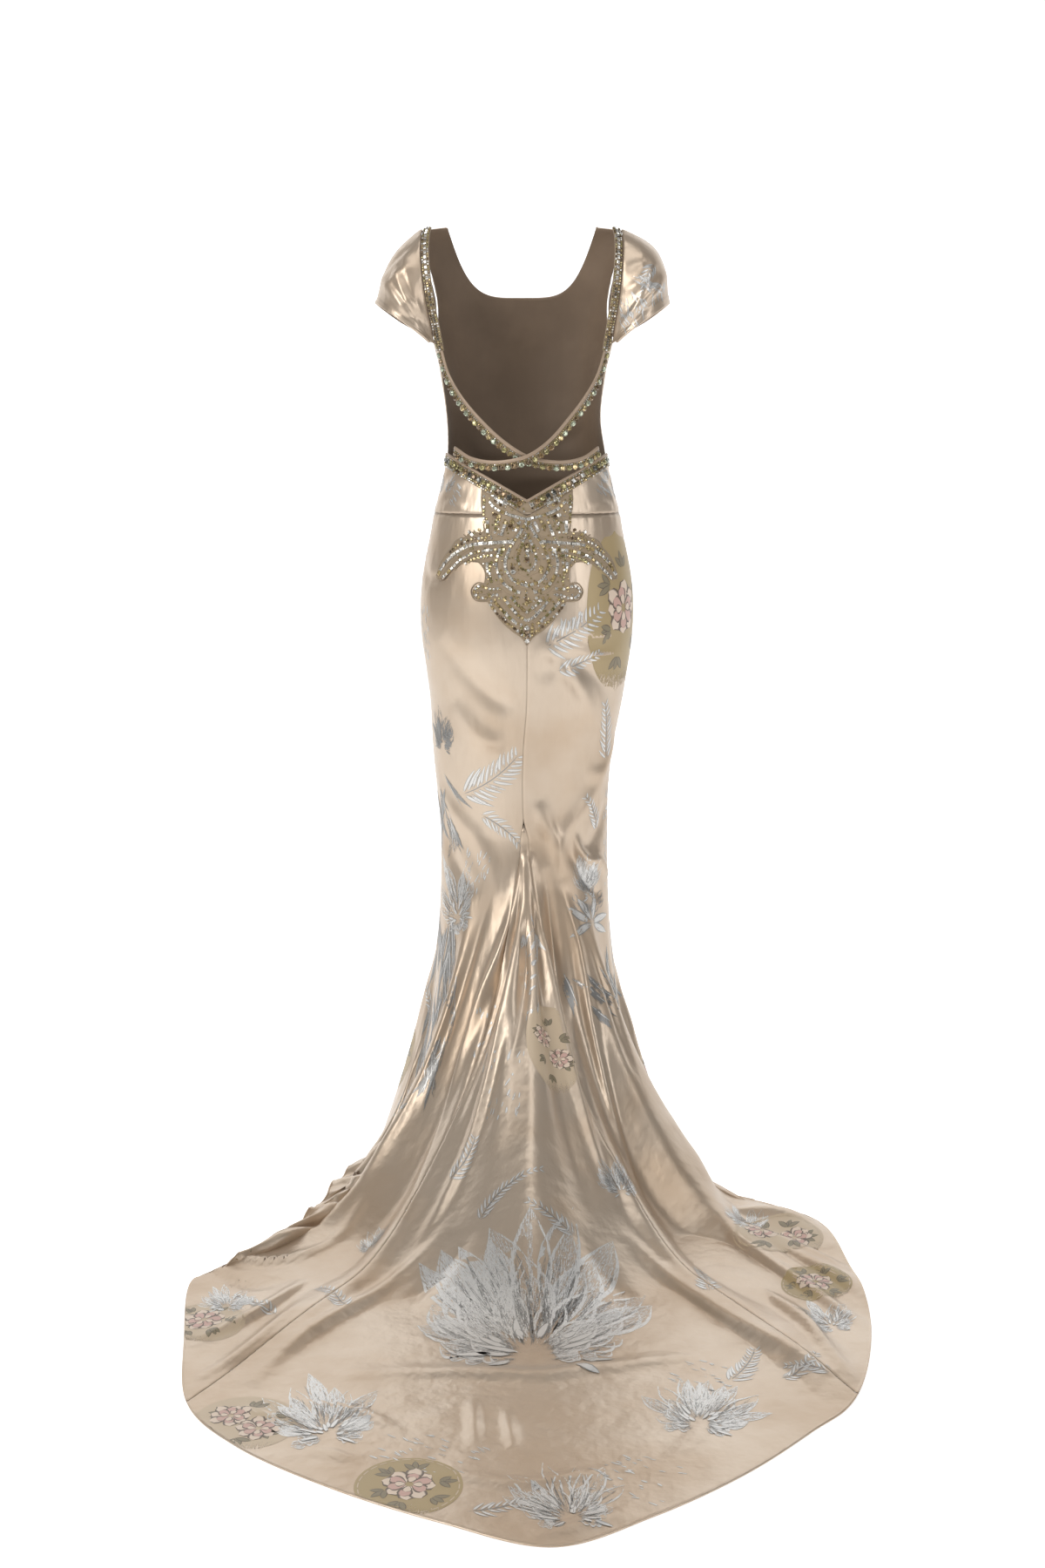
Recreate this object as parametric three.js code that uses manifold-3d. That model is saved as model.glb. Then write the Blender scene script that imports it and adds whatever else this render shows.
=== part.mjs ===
// Evening gown with cap sleeves, an open back with crossed beaded straps, and a long train.
// The cloth is a thin hollow wall in its worn shape, open at the neck, the back, the sleeves and the hem.
// Millimetres, +Z up. The wearer faces +Y, +X is the wearer's right, and the train runs out along -Y.
// Heights in the tables are measured from the floor. The group is lowered so that the shoulders are at z 0.
import * as THREE from "three";
import { mergeVertices } from "three/addons/utils/BufferGeometryUtils.js";
import Module from "manifold-3d";

const wasm = await Module();
wasm.setup();

// Driving sizes
const SHOULDER_HEIGHT = 1500; // shoulder seam above the floor
const CLOTH = 2; // wall of the satin panels
const SEAM_GAP = 0.3; // clear space between neighbouring pieces
const YOKE_SEAM = 1063; // height of the seam between yoke and skirt
const FLARE_HEIGHT = 550; // height where the skirt leaves the legs and the train gusset starts
const WAIST_POINT = 1084; // lowest point of the back waist edge, on the centre line
const WAIST_SLOPE = 0.58; // rise of that edge for each millimetre sideways
const SIDE = 90; // turn of the side seams, in degrees from the centre back
const GUSSET = 40; // turn of the train gusset's seams below the flare
const GUSSET_START = 0.07; // how far above the flare the gusset's point reaches, as a share of the skirt's top
const GUSSET_POINT_TURN = 3.2; // turn of the gusset's edges on the body where the flare begins
const NECK_DEPTH = 1405; // height of the front neckline at the centre
const NECK_HALF = 116; // half width of the neckline at the shoulder
const NECK_SCOOP = 4.5; // how flat the neckline runs before it turns up to the shoulder
const SHOULDER_TURN = 104; // turn of the armhole at the shoulder
const SHOULDER_HALF = 162; // half width of the figure at the shoulder
const SHOULDER_ROUND = 58; // how far below the shoulder seam the front reaches its full depth
const FOLD_GROWTH = 1.9; // how soon the folds reach full height, as the cloth widens down the flare
const STRIP_WIDTH = 13;
const STRAP_WIDTH = 16;
const BAND_THICKNESS = 2.4;
const BEAD_RISE = 4; // how far the large beads stand up from their band
const WAIST_BAND_WIDTH = 21;
const APPLIQUE_THICKNESS = 1.6;
const YOKE_COLUMNS = 32;
const NECK_COLUMNS = 11; // columns of the bodice from its middle to where the neckline meets the shoulder
const WAIST_BAND_BEADS = 28;

// The worn form, one row for each level: half width, depth to the back and front, and sideways lean.
const BODY_RINGS = [
  { height: 550, half: 135, back: 100, front: 90, lean: -4 },
  { height: 623, half: 139, back: 105, front: 91, lean: -7 },
  { height: 692, half: 146, back: 111, front: 93, lean: -6 },
  { height: 760, half: 154, back: 119, front: 95, lean: -1 },
  { height: 812, half: 161, back: 126, front: 96, lean: 0 },
  { height: 863, half: 168, back: 131, front: 97, lean: 0 },
  { height: 913, half: 170, back: 131, front: 98, lean: 0 },
  { height: 964, half: 166, back: 126, front: 98, lean: 0 },
  { height: 1030, half: 153, back: 113, front: 96, lean: 0 },
  { height: 1063, half: 147, back: 106, front: 94, lean: 0 },
  { height: 1097, half: 138, back: 97, front: 92, lean: 0 },
  { height: 1129, half: 130, back: 89, front: 91, lean: 0 },
  { height: 1162, half: 124, back: 84, front: 91, lean: -1 },
  { height: 1211, half: 121, back: 85, front: 97, lean: -5 },
  { height: 1265, half: 127, back: 91, front: 108, lean: -6 },
  { height: 1323, half: 139, back: 96, front: 115, lean: -6 },
  { height: 1380, half: 150, back: 96, front: 107, lean: -7 },
  { height: 1440, half: 158, back: 90, front: 84, lean: -8 },
  { height: 1510, half: 163, back: 80, front: 62, lean: -8 },
];

// The skirt below the flare, one row for each turn round the figure (0 centre back, 180 centre front).
// x and y place the hem on the floor. reach is the share of the way out where the cloth meets the floor,
// landing its slope there in degrees, and fall and sweep how long it keeps its upper and lower direction.
const HEM_PLAN = [
  { turn: -210, x: 118, y: 196, reach: 1, landing: 76, fall: 200, sweep: 150 },
  { turn: -180, x: -5, y: 232, reach: 1, landing: 76, fall: 200, sweep: 150 },
  { turn: -150, x: -128, y: 196, reach: 1, landing: 76, fall: 200, sweep: 150 },
  { turn: -120, x: -216, y: 92, reach: 1, landing: 74, fall: 200, sweep: 150 },
  { turn: -100, x: -254, y: -28, reach: 1, landing: 64, fall: 270, sweep: 150 },
  { turn: -90, x: -292, y: -122, reach: 0.8, landing: 32, fall: 380, sweep: 90 },
  { turn: -80, x: -318, y: -262, reach: 0.74, landing: 20, fall: 360, sweep: 120 },
  { turn: -70, x: -362, y: -392, reach: 0.7, landing: 8, fall: 330, sweep: 150 },
  { turn: -60, x: -434, y: -508, reach: 0.64, landing: 3, fall: 220, sweep: 190 },
  { turn: -55, x: -474, y: -556, reach: 0.62, landing: 1, fall: 195, sweep: 215 },
  { turn: -50, x: -456, y: -712, reach: 0.6, landing: 0, fall: 170, sweep: 240 },
  { turn: -40, x: -422, y: -892, reach: 0.58, landing: 0, fall: 165, sweep: 260 },
  { turn: -30, x: -345, y: -1000, reach: 0.58, landing: 0, fall: 160, sweep: 270 },
  { turn: -20, x: -226, y: -1092, reach: 0.58, landing: 0, fall: 160, sweep: 280 },
  { turn: -10, x: -98, y: -1164, reach: 0.58, landing: 0, fall: 160, sweep: 280 },
  { turn: 0, x: 26, y: -1212, reach: 0.58, landing: 0, fall: 160, sweep: 280 },
  { turn: 10, x: 138, y: -1152, reach: 0.58, landing: 0, fall: 160, sweep: 280 },
  { turn: 20, x: 246, y: -1066, reach: 0.58, landing: 0, fall: 160, sweep: 280 },
  { turn: 30, x: 338, y: -968, reach: 0.58, landing: 0, fall: 160, sweep: 270 },
  { turn: 40, x: 410, y: -876, reach: 0.58, landing: 0, fall: 165, sweep: 260 },
  { turn: 50, x: 460, y: -690, reach: 0.6, landing: 0, fall: 170, sweep: 240 },
  { turn: 60, x: 466, y: -520, reach: 0.64, landing: 3, fall: 190, sweep: 210 },
  { turn: 70, x: 438, y: -322, reach: 0.66, landing: 8, fall: 330, sweep: 160 },
  { turn: 80, x: 350, y: -264, reach: 0.72, landing: 22, fall: 360, sweep: 120 },
  { turn: 90, x: 276, y: -130, reach: 0.9, landing: 46, fall: 380, sweep: 120 },
  { turn: 100, x: 240, y: -26, reach: 1, landing: 66, fall: 270, sweep: 150 },
  { turn: 120, x: 206, y: 92, reach: 1, landing: 74, fall: 200, sweep: 150 },
  { turn: 150, x: 118, y: 196, reach: 1, landing: 76, fall: 200, sweep: 150 },
  { turn: 180, x: -5, y: 232, reach: 1, landing: 76, fall: 200, sweep: 150 },
  { turn: 210, x: -128, y: 196, reach: 1, landing: 76, fall: 200, sweep: 150 },
];

// Folds of the skirt: where each one runs, its half width in degrees, how far its crest stands out, and
// the stretch of the flare, 0 at its top and 1 at the hem, over which it shows. drift moves it sideways.
const FOLDS = [
  { turn: -40, width: 4, rise: 11, from: 0.3, to: 0.95, drift: 0 },
  { turn: -27, width: 6, rise: -9, from: 0.2, to: 0.6, drift: 2 },
  { turn: -14, width: 5, rise: 9, from: 0.06, to: 0.5, drift: 0 },
  { turn: -2, width: 5, rise: -8, from: 0.08, to: 0.45, drift: -2 },
  { turn: 8, width: 4.5, rise: 9, from: 0.06, to: 0.42, drift: 2 },
  { turn: 19, width: 6, rise: -11, from: 0.16, to: 0.6, drift: 2 },
  { turn: 40, width: 4, rise: 14, from: 0.3, to: 1.05, drift: 0 },
  { turn: 31, width: 5, rise: -8, from: 0.55, to: 1.05, drift: 0 },
  { turn: 47, width: 5, rise: -22, from: 0.08, to: 0.9, drift: 2 },
  { turn: 56, width: 4.5, rise: 17, from: 0.2, to: 1.1, drift: 2 },
  { turn: 64, width: 5, rise: 30, from: 0.06, to: 0.8, drift: 2 },
  { turn: 66, width: 3.6, rise: 15, from: 0.7, to: 1.1, drift: 0 },
  { turn: 61, width: 3, rise: -8, from: 0.7, to: 1.1, drift: 0 },
  { turn: 76, width: 5, rise: -26, from: 0.1, to: 0.8, drift: 0 },
  { turn: 75, width: 3, rise: 12, from: 0.75, to: 1.1, drift: 0 },
  { turn: 84, width: 5, rise: 12, from: 0.3, to: 1.1, drift: 0 },
  { turn: -48, width: 4.5, rise: -18, from: 0.1, to: 0.8, drift: -1 },
  { turn: -49, width: 3, rise: 9, from: 0.75, to: 1.1, drift: -1 },
  { turn: -57, width: 5, rise: 20, from: 0.04, to: 0.85, drift: -2 },
  { turn: -55, width: 2.4, rise: 10, from: 0.78, to: 1.1, drift: 0 },
  { turn: -66, width: 5, rise: -16, from: 0.1, to: 0.8, drift: -1 },
  { turn: -62, width: 2.4, rise: 17, from: 0.72, to: 1.3, drift: 0 },
  { turn: -69, width: 2.4, rise: 19, from: 0.7, to: 1.3, drift: 0 },
  { turn: -76, width: 2.6, rise: 20, from: 0.6, to: 1.3, drift: 0 },
  { turn: -83, width: 2.8, rise: 21, from: 0.55, to: 1.3, drift: 0 },
  { turn: -92, width: 4, rise: 12, from: 0.3, to: 1.1, drift: 0 },
  { turn: -108, width: 6, rise: 10, from: 0.25, to: 1.1, drift: 0 },
  { turn: -128, width: 7, rise: 12, from: 0.2, to: 1.1, drift: 0 },
  { turn: -152, width: 7, rise: 9, from: 0.25, to: 1.1, drift: 0 },
  { turn: -174, width: 7, rise: 11, from: 0.2, to: 1.1, drift: 0 },
  { turn: 164, width: 7, rise: 9, from: 0.25, to: 1.1, drift: 0 },
  { turn: 141, width: 7, rise: 12, from: 0.2, to: 1.1, drift: 0 },
  { turn: 118, width: 6, rise: 10, from: 0.25, to: 1.1, drift: 0 },
  { turn: 99, width: 5, rise: 11, from: 0.3, to: 1.1, drift: 0 },
];

// Side edge of the bodice, as the turn where it ends at each height: the side seam up to the waist
// edge, the free back edge up to the underarm, then the armhole up to the shoulder.
const BODICE_EDGE = [
  { height: 1063, turn: 90 },
  { height: 1110, turn: 90 },
  { height: 1160, turn: 90 },
  { height: 1180, turn: 88.5 },
  { height: 1211, turn: 86 },
  { height: 1265, turn: 82 },
  { height: 1298, turn: 75 },
  { height: 1313, turn: 69.2 },
  { height: 1326, turn: 84 },
  { height: 1343, turn: 105 },
  { height: 1383, turn: 117 },
  { height: 1427, turn: 116 },
  { height: 1466, turn: 110 },
  { height: 1503, turn: 104 },
];

// Beaded strip from the shoulder down to the arm's lower end, measured out from the leaning middle.
const STRIP_PATH = [
  { along: 0, x: 147, y: 0, height: 1502 },
  { along: 0.12, x: 149, y: -24, height: 1486 },
  { along: 0.3, x: 149, y: -43, height: 1459 },
  { along: 0.5, x: 146, y: -54, height: 1421 },
  { along: 0.7, x: 141, y: -54, height: 1383 },
  { along: 0.86, x: 135, y: -47, height: 1350 },
  { along: 1, x: 129, y: -34, height: 1314 },
];

// Crossed strap, from the end of the strip on its own side to the waist on the other side.
const STRAP_PATH = [
  { along: 0, x: 129, height: 1312.4, clear: 2.4 },
  { along: 0.12, x: 117, height: 1272, clear: 3 },
  { along: 0.25, x: 97, height: 1236, clear: 6 },
  { along: 0.38, x: 70, height: 1202, clear: 9 },
  { along: 0.5, x: 41, height: 1172, clear: 11 },
  { along: 0.6, x: 10, height: 1150, clear: 12 },
  { along: 0.7, x: -20, height: 1140, clear: 12 },
  { along: 0.8, x: -55, height: 1137, clear: 11 },
  { along: 0.9, x: -88, height: 1143.4, clear: 7 },
  { along: 1, x: -113, height: 1159.5, clear: 5.6 },
];
const STRAP_OVER = 8.4; // how far the upper strap passes outside the other one where they cross

// Hem of the cap sleeve, from the back of the arm over the outside to the front.
const SLEEVE_HEM = [
  { along: 0, x: 143, y: -50, height: 1322 },
  { along: 0.14, x: 166, y: -66, height: 1341 },
  { along: 0.28, x: 194, y: -64, height: 1361 },
  { along: 0.4, x: 217, y: -40, height: 1378 },
  { along: 0.5, x: 230, y: 0, height: 1388 },
  { along: 0.6, x: 220, y: 40, height: 1380 },
  { along: 0.72, x: 197, y: 66, height: 1364 },
  { along: 0.86, x: 164, y: 62, height: 1345 },
  { along: 1, x: 148, y: 22, height: 1328 },
];
const SLEEVE_PUFF = { left: 15, right: 27 }; // how far each cap stands out between its two edges
const SLEEVE_FOLDS = [
  { across: 0.25, width: 0.1, rise: 5, from: 0.02, to: 0.46 },
  { across: 0.5, width: 0.09, rise: 6, from: 0.02, to: 0.42 },
  { across: 0.74, width: 0.08, rise: 5, from: 0.02, to: 0.55 },
  { across: 0.35, width: 0.1, rise: 4, from: 0.58, to: 0.98 },
  { across: 0.68, width: 0.1, rise: 5, from: 0.55, to: 0.98 },
];

const DEGREE = Math.PI / 180;
const vec = (x, y, z) => new THREE.Vector3(x, y, z);
const mix = (a, b, share) => a + (b - a) * share;

function smooth(edge0, edge1, value) {
  const share = THREE.MathUtils.clamp((value - edge0) / (edge1 - edge0), 0, 1);
  return share * share * (3 - 2 * share);
}

// Reads every column of a table at one key value, on a cubic curve through the rows.
function read(rows, key, value) {
  const last = rows.length - 1;
  const at = THREE.MathUtils.clamp(value, rows[0][key], rows[last][key]);
  let i = 0;
  while (i < last - 1 && rows[i + 1][key] <= at) i += 1;
  const step = rows[i + 1][key] - rows[i][key];
  const s = (at - rows[i][key]) / step;
  const slope = (j, column) => {
    const low = rows[Math.max(j - 1, 0)];
    const high = rows[Math.min(j + 1, last)];
    return (high[column] - low[column]) / (high[key] - low[key]);
  };
  const result = {};
  for (const column of Object.keys(rows[0])) {
    const [a, b] = [rows[i][column], rows[i + 1][column]];
    const [ma, mb] = [slope(i, column) * step, slope(i + 1, column) * step];
    result[column] =
      (2 * s ** 3 - 3 * s ** 2 + 1) * a +
      (s ** 3 - 2 * s ** 2 + s) * ma +
      (3 * s ** 2 - 2 * s ** 3) * b +
      (s ** 3 - s ** 2) * mb;
  }
  return result;
}

// A point on the worn form: an upright ring of two half ellipses, turned from the centre back.
function bodyPoint(turn, height) {
  const ring = read(BODY_RINGS, "height", height);
  const depth = Math.cos(turn * DEGREE) > 0 ? ring.back : ring.front;
  return vec(
    ring.lean + ring.half * Math.sin(turn * DEGREE),
    -depth * Math.cos(turn * DEGREE),
    height,
  );
}

// The turn on the body of a skirt label: the gusset's labels close up to its point at the centre back.
function bodyTurn(label, drop) {
  const point = GUSSET_POINT_TURN * smooth(-GUSSET_START, 0.02, drop);
  const side = Math.abs(label);
  if (side > SIDE) return label;
  const turn = side < GUSSET
    ? (point * side) / GUSSET
    : mix(point, SIDE, (side - GUSSET) / (SIDE - GUSSET));
  return Math.sign(label) * turn;
}

// The flared skirt below the legs: a hanging curve that lands on the floor and then lies on it.
function flarePoint(label, drop) {
  const row = read(HEM_PLAN, "turn", label > 180 ? label - 360 : label);
  const top = bodyPoint(bodyTurn(label, 0), FLARE_HEIGHT);
  const hem = vec(row.x, row.y, 0);
  const landing = top.clone().lerp(hem, Math.min(row.reach, 1)).setZ(0);
  const back = vec(top.x - hem.x, top.y - hem.y, 0).normalize();
  const slope = Math.max(row.landing, 0) * DEGREE;
  const curve = new THREE.CubicBezierCurve3(
    top,
    top.clone().setZ(FLARE_HEIGHT - row.fall),
    landing.clone().addScaledVector(back, row.sweep * Math.cos(slope))
      .setZ(row.sweep * Math.sin(slope)),
    landing,
  );
  const hanging = top.distanceTo(landing) * 1.06;
  const share = hanging / (hanging + landing.distanceTo(hem));
  if (drop <= share || share > 0.999) return curve.getPoint(drop / share);
  return landing.lerp(hem, (drop - share) / (1 - share));
}

// The skirt before its folds. drop is -1 at the yoke seam, 0 at the flare and 1 at the hem.
function plainSkirt(label, drop) {
  if (drop > 0) return flarePoint(label, drop);
  return bodyPoint(bodyTurn(label, drop), mix(FLARE_HEIGHT, YOKE_SEAM, -drop));
}

// How far the folds stand out from the plain skirt at a point.
function foldRise(label, drop) {
  let rise = 0;
  for (const fold of FOLDS) {
    const turn = label - fold.turn - fold.drift * drop;
    const away = (turn > 180 ? turn - 360 : turn) / fold.width;
    const start = smooth(fold.from, fold.from + 0.22, drop);
    const end = 1 - smooth(fold.to - 0.2, fold.to, drop);
    rise += fold.rise * Math.exp(-away * away) * start * end;
  }
  return rise;
}

// Outward direction of a surface, from its slopes down and across.
function outward(surface, u, v, stepU, stepV) {
  const across = surface(u + stepU, v).sub(surface(u - stepU, v));
  const down = surface(u, v + stepV).sub(surface(u, v - stepV));
  return down.cross(across).normalize();
}

// The under face of the skirt, folds included. Each fold grows as its cloth widens, and no point lies
// below the floor.
function skirtPoint(label, drop) {
  const point = plainSkirt(label, drop);
  const rise = foldRise(label, drop) * Math.min(FOLD_GROWTH * drop, 1);
  if (drop > 0) point.addScaledVector(outward(plainSkirt, label, drop, 0.5, 0.004), rise);
  if (point.z < 0) point.z = 0;
  return point;
}

// Turns a grid of {inner, outer} points into one closed wall.
function wallGeometry(grid) {
  const rows = grid.length;
  const columns = grid[0].length;
  const positions = [];
  const index = [];
  for (const face of ["inner", "outer"])
    for (const row of grid) for (const cell of row) positions.push(...cell[face].toArray());
  const id = (face, j, i) => (face * rows + j) * columns + i;
  const quad = (a, b, c, d) => index.push(a, b, c, a, c, d);
  for (let j = 0; j < rows - 1; j += 1)
    for (let i = 0; i < columns - 1; i += 1) {
      quad(id(1, j, i), id(1, j + 1, i), id(1, j + 1, i + 1), id(1, j, i + 1));
      quad(id(0, j, i), id(0, j, i + 1), id(0, j + 1, i + 1), id(0, j + 1, i));
    }
  for (let j = 0; j < rows - 1; j += 1) {
    quad(id(0, j, 0), id(0, j + 1, 0), id(1, j + 1, 0), id(1, j, 0));
    const i = columns - 1;
    quad(id(0, j, i), id(1, j, i), id(1, j + 1, i), id(0, j + 1, i));
  }
  for (let i = 0; i < columns - 1; i += 1) {
    quad(id(0, 0, i), id(1, 0, i), id(1, 0, i + 1), id(0, 0, i + 1));
    const j = rows - 1;
    quad(id(0, j, i), id(0, j, i + 1), id(1, j, i + 1), id(1, j, i));
  }
  const geometry = new THREE.BufferGeometry();
  geometry.setAttribute("position", new THREE.Float32BufferAttribute(positions, 3));
  geometry.setIndex(index);
  return geometry;
}

// The points of a cloth panel: surface(u, v) is its inner face, u runs across between the two edge
// functions and v down through the stops. seams names the sides that draw back by half a seam gap.
function panelGrid(surface, edges, stops, columns, seams, lift = 0, thickness = CLOTH) {
  const [stepU, stepV] = [edges.stepU, edges.stepV];
  const last = stops.length - 1;
  return stops.map((v, j) =>
    Array.from({ length: columns + 1 }, (_, i) => {
      const u = mix(edges.left(v), edges.right(v), i / columns);
      const normal = outward(surface, u, v, stepU, stepV);
      const inner = surface(u, v).addScaledVector(normal, lift);
      const across = surface(u + stepU, v).sub(surface(u - stepU, v)).normalize();
      const down = surface(u, v + stepV).sub(surface(u, v - stepV)).normalize();
      const drawIn = (direction, seam, sign) => {
        const square = normal.clone().cross(seam).normalize();
        const toward = sign * Math.sign(square.dot(direction));
        inner.addScaledVector(square, (toward * SEAM_GAP) / 2);
      };
      if (i === 0 && seams.includes("left")) drawIn(across, down, 1);
      if (i === columns && seams.includes("right")) drawIn(across, down, -1);
      if (j === 0 && seams.includes("top")) drawIn(down, across, 1);
      if (j === last && seams.includes("foot")) drawIn(down, across, -1);
      return { inner, outer: inner.clone().addScaledVector(normal, thickness) };
    }),
  );
}

const panel = (...sizes) => wallGeometry(panelGrid(...sizes));
const stopsBetween = (a, b, count, power = 1) =>
  Array.from({ length: count + 1 }, (_, i) => mix(a, b, (i / count) ** power));
const fixed = (value) => () => value;
const SKIRT_STEP = { stepU: 0.4, stepV: 0.003 };

function skirtGrid(left, right, stops, columns, seams) {
  const edges = { left: fixed(left), right: fixed(right), ...SKIRT_STEP };
  return panelGrid(skirtPoint, edges, stops, columns, seams);
}

// Height of the back waist edge, a shallow V across the small of the back.
function waistEdge(x) {
  return WAIST_POINT + WAIST_SLOPE * Math.abs(x);
}

// The yoke between the waist edge and the yoke seam. drop is 0 at the waist edge and 1 at the seam.
function yokePoint(label, drop) {
  let height = YOKE_SEAM;
  for (let i = 0; i < 4; i += 1) height = waistEdge(bodyPoint(label, height).x);
  return bodyPoint(label, mix(height, YOKE_SEAM, drop));
}

function bodiceEdge(height) {
  return read(BODICE_EDGE, "height", height).turn;
}

// The front of the figure up to the shoulder, where it rounds over to a ridge.
function frontPoint(turn, height) {
  const point = bodyPoint(turn, height);
  const lean = read(BODY_RINGS, "height", height).lean;
  const ridge = 1503 + 0.12 * (147 - Math.abs(point.x - lean));
  const below = THREE.MathUtils.clamp((ridge - height) / SHOULDER_ROUND, 0, 1);
  if (point.y > 0) point.y *= Math.sqrt(1 - (1 - below) ** 2);
  return point;
}

// Height of the bodice's top edge, neckline then shoulder, at a share of the way out to its side.
function bodiceTop(share) {
  const x = SHOULDER_HALF * Math.sin(share * (180 - SHOULDER_TURN) * DEGREE);
  const shoulder = 1502.4 + 0.12 * (147 - x);
  return mix(NECK_DEPTH, shoulder, Math.min(x / NECK_HALF, 1) ** NECK_SCOOP);
}

// The bodice front: u is -1 at the wearer's left edge and 1 at the right, v is 0 at the top edge.
function bodicePoint(u, v) {
  const share = Math.abs(u);
  const height = mix(bodiceTop(share), YOKE_SEAM, v);
  const plain = mix(90, SHOULDER_TURN, smooth(1150, 1500, height));
  const turn = 180 - share * (180 - plain) + share ** 6 * (bodiceEdge(height) - plain);
  return frontPoint(u < 0 ? -turn : turn, height);
}

// A band along a path on the figure: points on its inner face, with beads raised in its outer points.
function bandGeometry(frames, width, thickness, bead) {
  const section = frames.map(({ at, out, side }, k) => {
    const corner = (w, h) => at.clone().addScaledVector(side, w * width).addScaledVector(out, h);
    const swell = bead ? bead.rise * Math.sin((Math.PI * (k % bead.steps)) / bead.steps) : 0;
    return [
      corner(-0.5, 0),
      corner(0.5, 0),
      corner(0.5, thickness),
      corner(0.18, thickness + swell),
      corner(-0.3, thickness + swell),
      corner(-0.5, thickness),
    ];
  });
  const count = section[0].length;
  const positions = section.flat().flatMap((p) => p.toArray());
  const index = [];
  for (let k = 0; k < section.length - 1; k += 1)
    for (let c = 0; c < count; c += 1) {
      const [a, b] = [k * count + c, k * count + ((c + 1) % count)];
      index.push(a, b, b + count, a, b + count, a + count);
    }
  const end = (section.length - 1) * count;
  for (let c = 1; c < count - 1; c += 1) {
    index.push(0, c + 1, c);
    index.push(end, end + c, end + c + 1);
  }
  const geometry = new THREE.BufferGeometry();
  geometry.setAttribute("position", new THREE.Float32BufferAttribute(positions, 3));
  geometry.setIndex(index);
  return geometry;
}

// Frames along a path: its points, the outward direction there and the direction across the band.
function bandFrames(path, outAt, steps) {
  return Array.from({ length: steps + 1 }, (_, k) => {
    const share = k / steps;
    const at = path(share);
    const along = path(Math.min(share + 0.01, 1)).sub(path(Math.max(share - 0.01, 0))).normalize();
    const out = outAt(at, share);
    out.addScaledVector(along, -out.dot(along)).normalize();
    return { at, out, side: out.clone().cross(along) };
  });
}

// Point on the open back at a sideways place and height, standing clear of the figure.
function backPoint(x, height, clear) {
  const ring = read(BODY_RINGS, "height", height);
  const reach = ring.half + clear;
  const inside = Math.sqrt(Math.max(1 - (x / reach) ** 2, 0.02));
  return vec(ring.lean + x, -(ring.back + clear) * inside, height);
}

function backOutward(at) {
  const ring = read(BODY_RINGS, "height", at.z);
  return vec((at.x - ring.lean) / ring.half ** 2, at.y / ring.back ** 2, 0).normalize();
}

function stripPoint(side, share) {
  const row = read(STRIP_PATH, "along", share);
  const lean = read(BODY_RINGS, "height", row.height).lean;
  return vec(lean + side * row.x, row.y, row.height);
}

// The strip faces back, and turns up over the shoulder at its top end.
function stripOutward(side, share) {
  const up = 1 - smooth(0, 0.45, share);
  return vec(side * 0.35, -1 + 0.8 * up, 1.6 * up).normalize();
}

function stripGeometry(side) {
  const frames = bandFrames((s) => stripPoint(side, s), (_, s) => stripOutward(side, s), 18);
  return bandGeometry(frames, STRIP_WIDTH, BAND_THICKNESS);
}

function strapGeometry(side, over) {
  const beads = 26;
  const steps = 2;
  const path = (share) => {
    const row = read(STRAP_PATH, "along", share);
    const lift = over * Math.exp(-(((row.x - 3) / 44) ** 2));
    return backPoint(side * row.x, row.height, row.clear + lift);
  };
  const frames = bandFrames(path, backOutward, beads * steps);
  return bandGeometry(frames, STRAP_WIDTH, BAND_THICKNESS, { rise: BEAD_RISE, steps });
}

// A point and outward direction on the faces of a finished grid, between its columns and rows.
function onGrid(grid, i, j) {
  const row = THREE.MathUtils.clamp(Math.floor(j), 0, grid.length - 2);
  const column = THREE.MathUtils.clamp(Math.floor(i), 0, grid[0].length - 2);
  const blend = (face) => {
    const top = grid[row][column][face].clone().lerp(grid[row][column + 1][face], i - column);
    const foot = grid[row + 1][column][face].clone().lerp(grid[row + 1][column + 1][face], i - column);
    return top.lerp(foot, j - row);
  };
  const outer = blend("outer");
  return { at: outer, normal: outer.clone().sub(blend("inner")).normalize() };
}

// The beaded band on the yoke's top edge, made from the yoke's points, moved out.
function waistBandGeometry(yoke) {
  const columns = 2 * WAIST_BAND_BEADS;
  const grid = [0, 0.3, 0.7, 1].map((share, j) =>
    Array.from({ length: columns + 1 }, (_, i) => {
      const across = mix(2, YOKE_COLUMNS - 2, i / columns);
      const side = onGrid(yoke, across, 0).at;
      const drop = (1 + share * WAIST_BAND_WIDTH) / (side.z - YOKE_SEAM);
      const { at, normal } = onGrid(yoke, across, drop * (yoke.length - 1));
      const bead = (j === 1 || j === 2) && i % 2 === 1 ? BEAD_RISE : 0;
      const inner = at.addScaledVector(normal, SEAM_GAP);
      return { inner, outer: inner.clone().addScaledVector(normal, BAND_THICKNESS + bead) };
    }),
  );
  return wallGeometry(grid);
}

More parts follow.
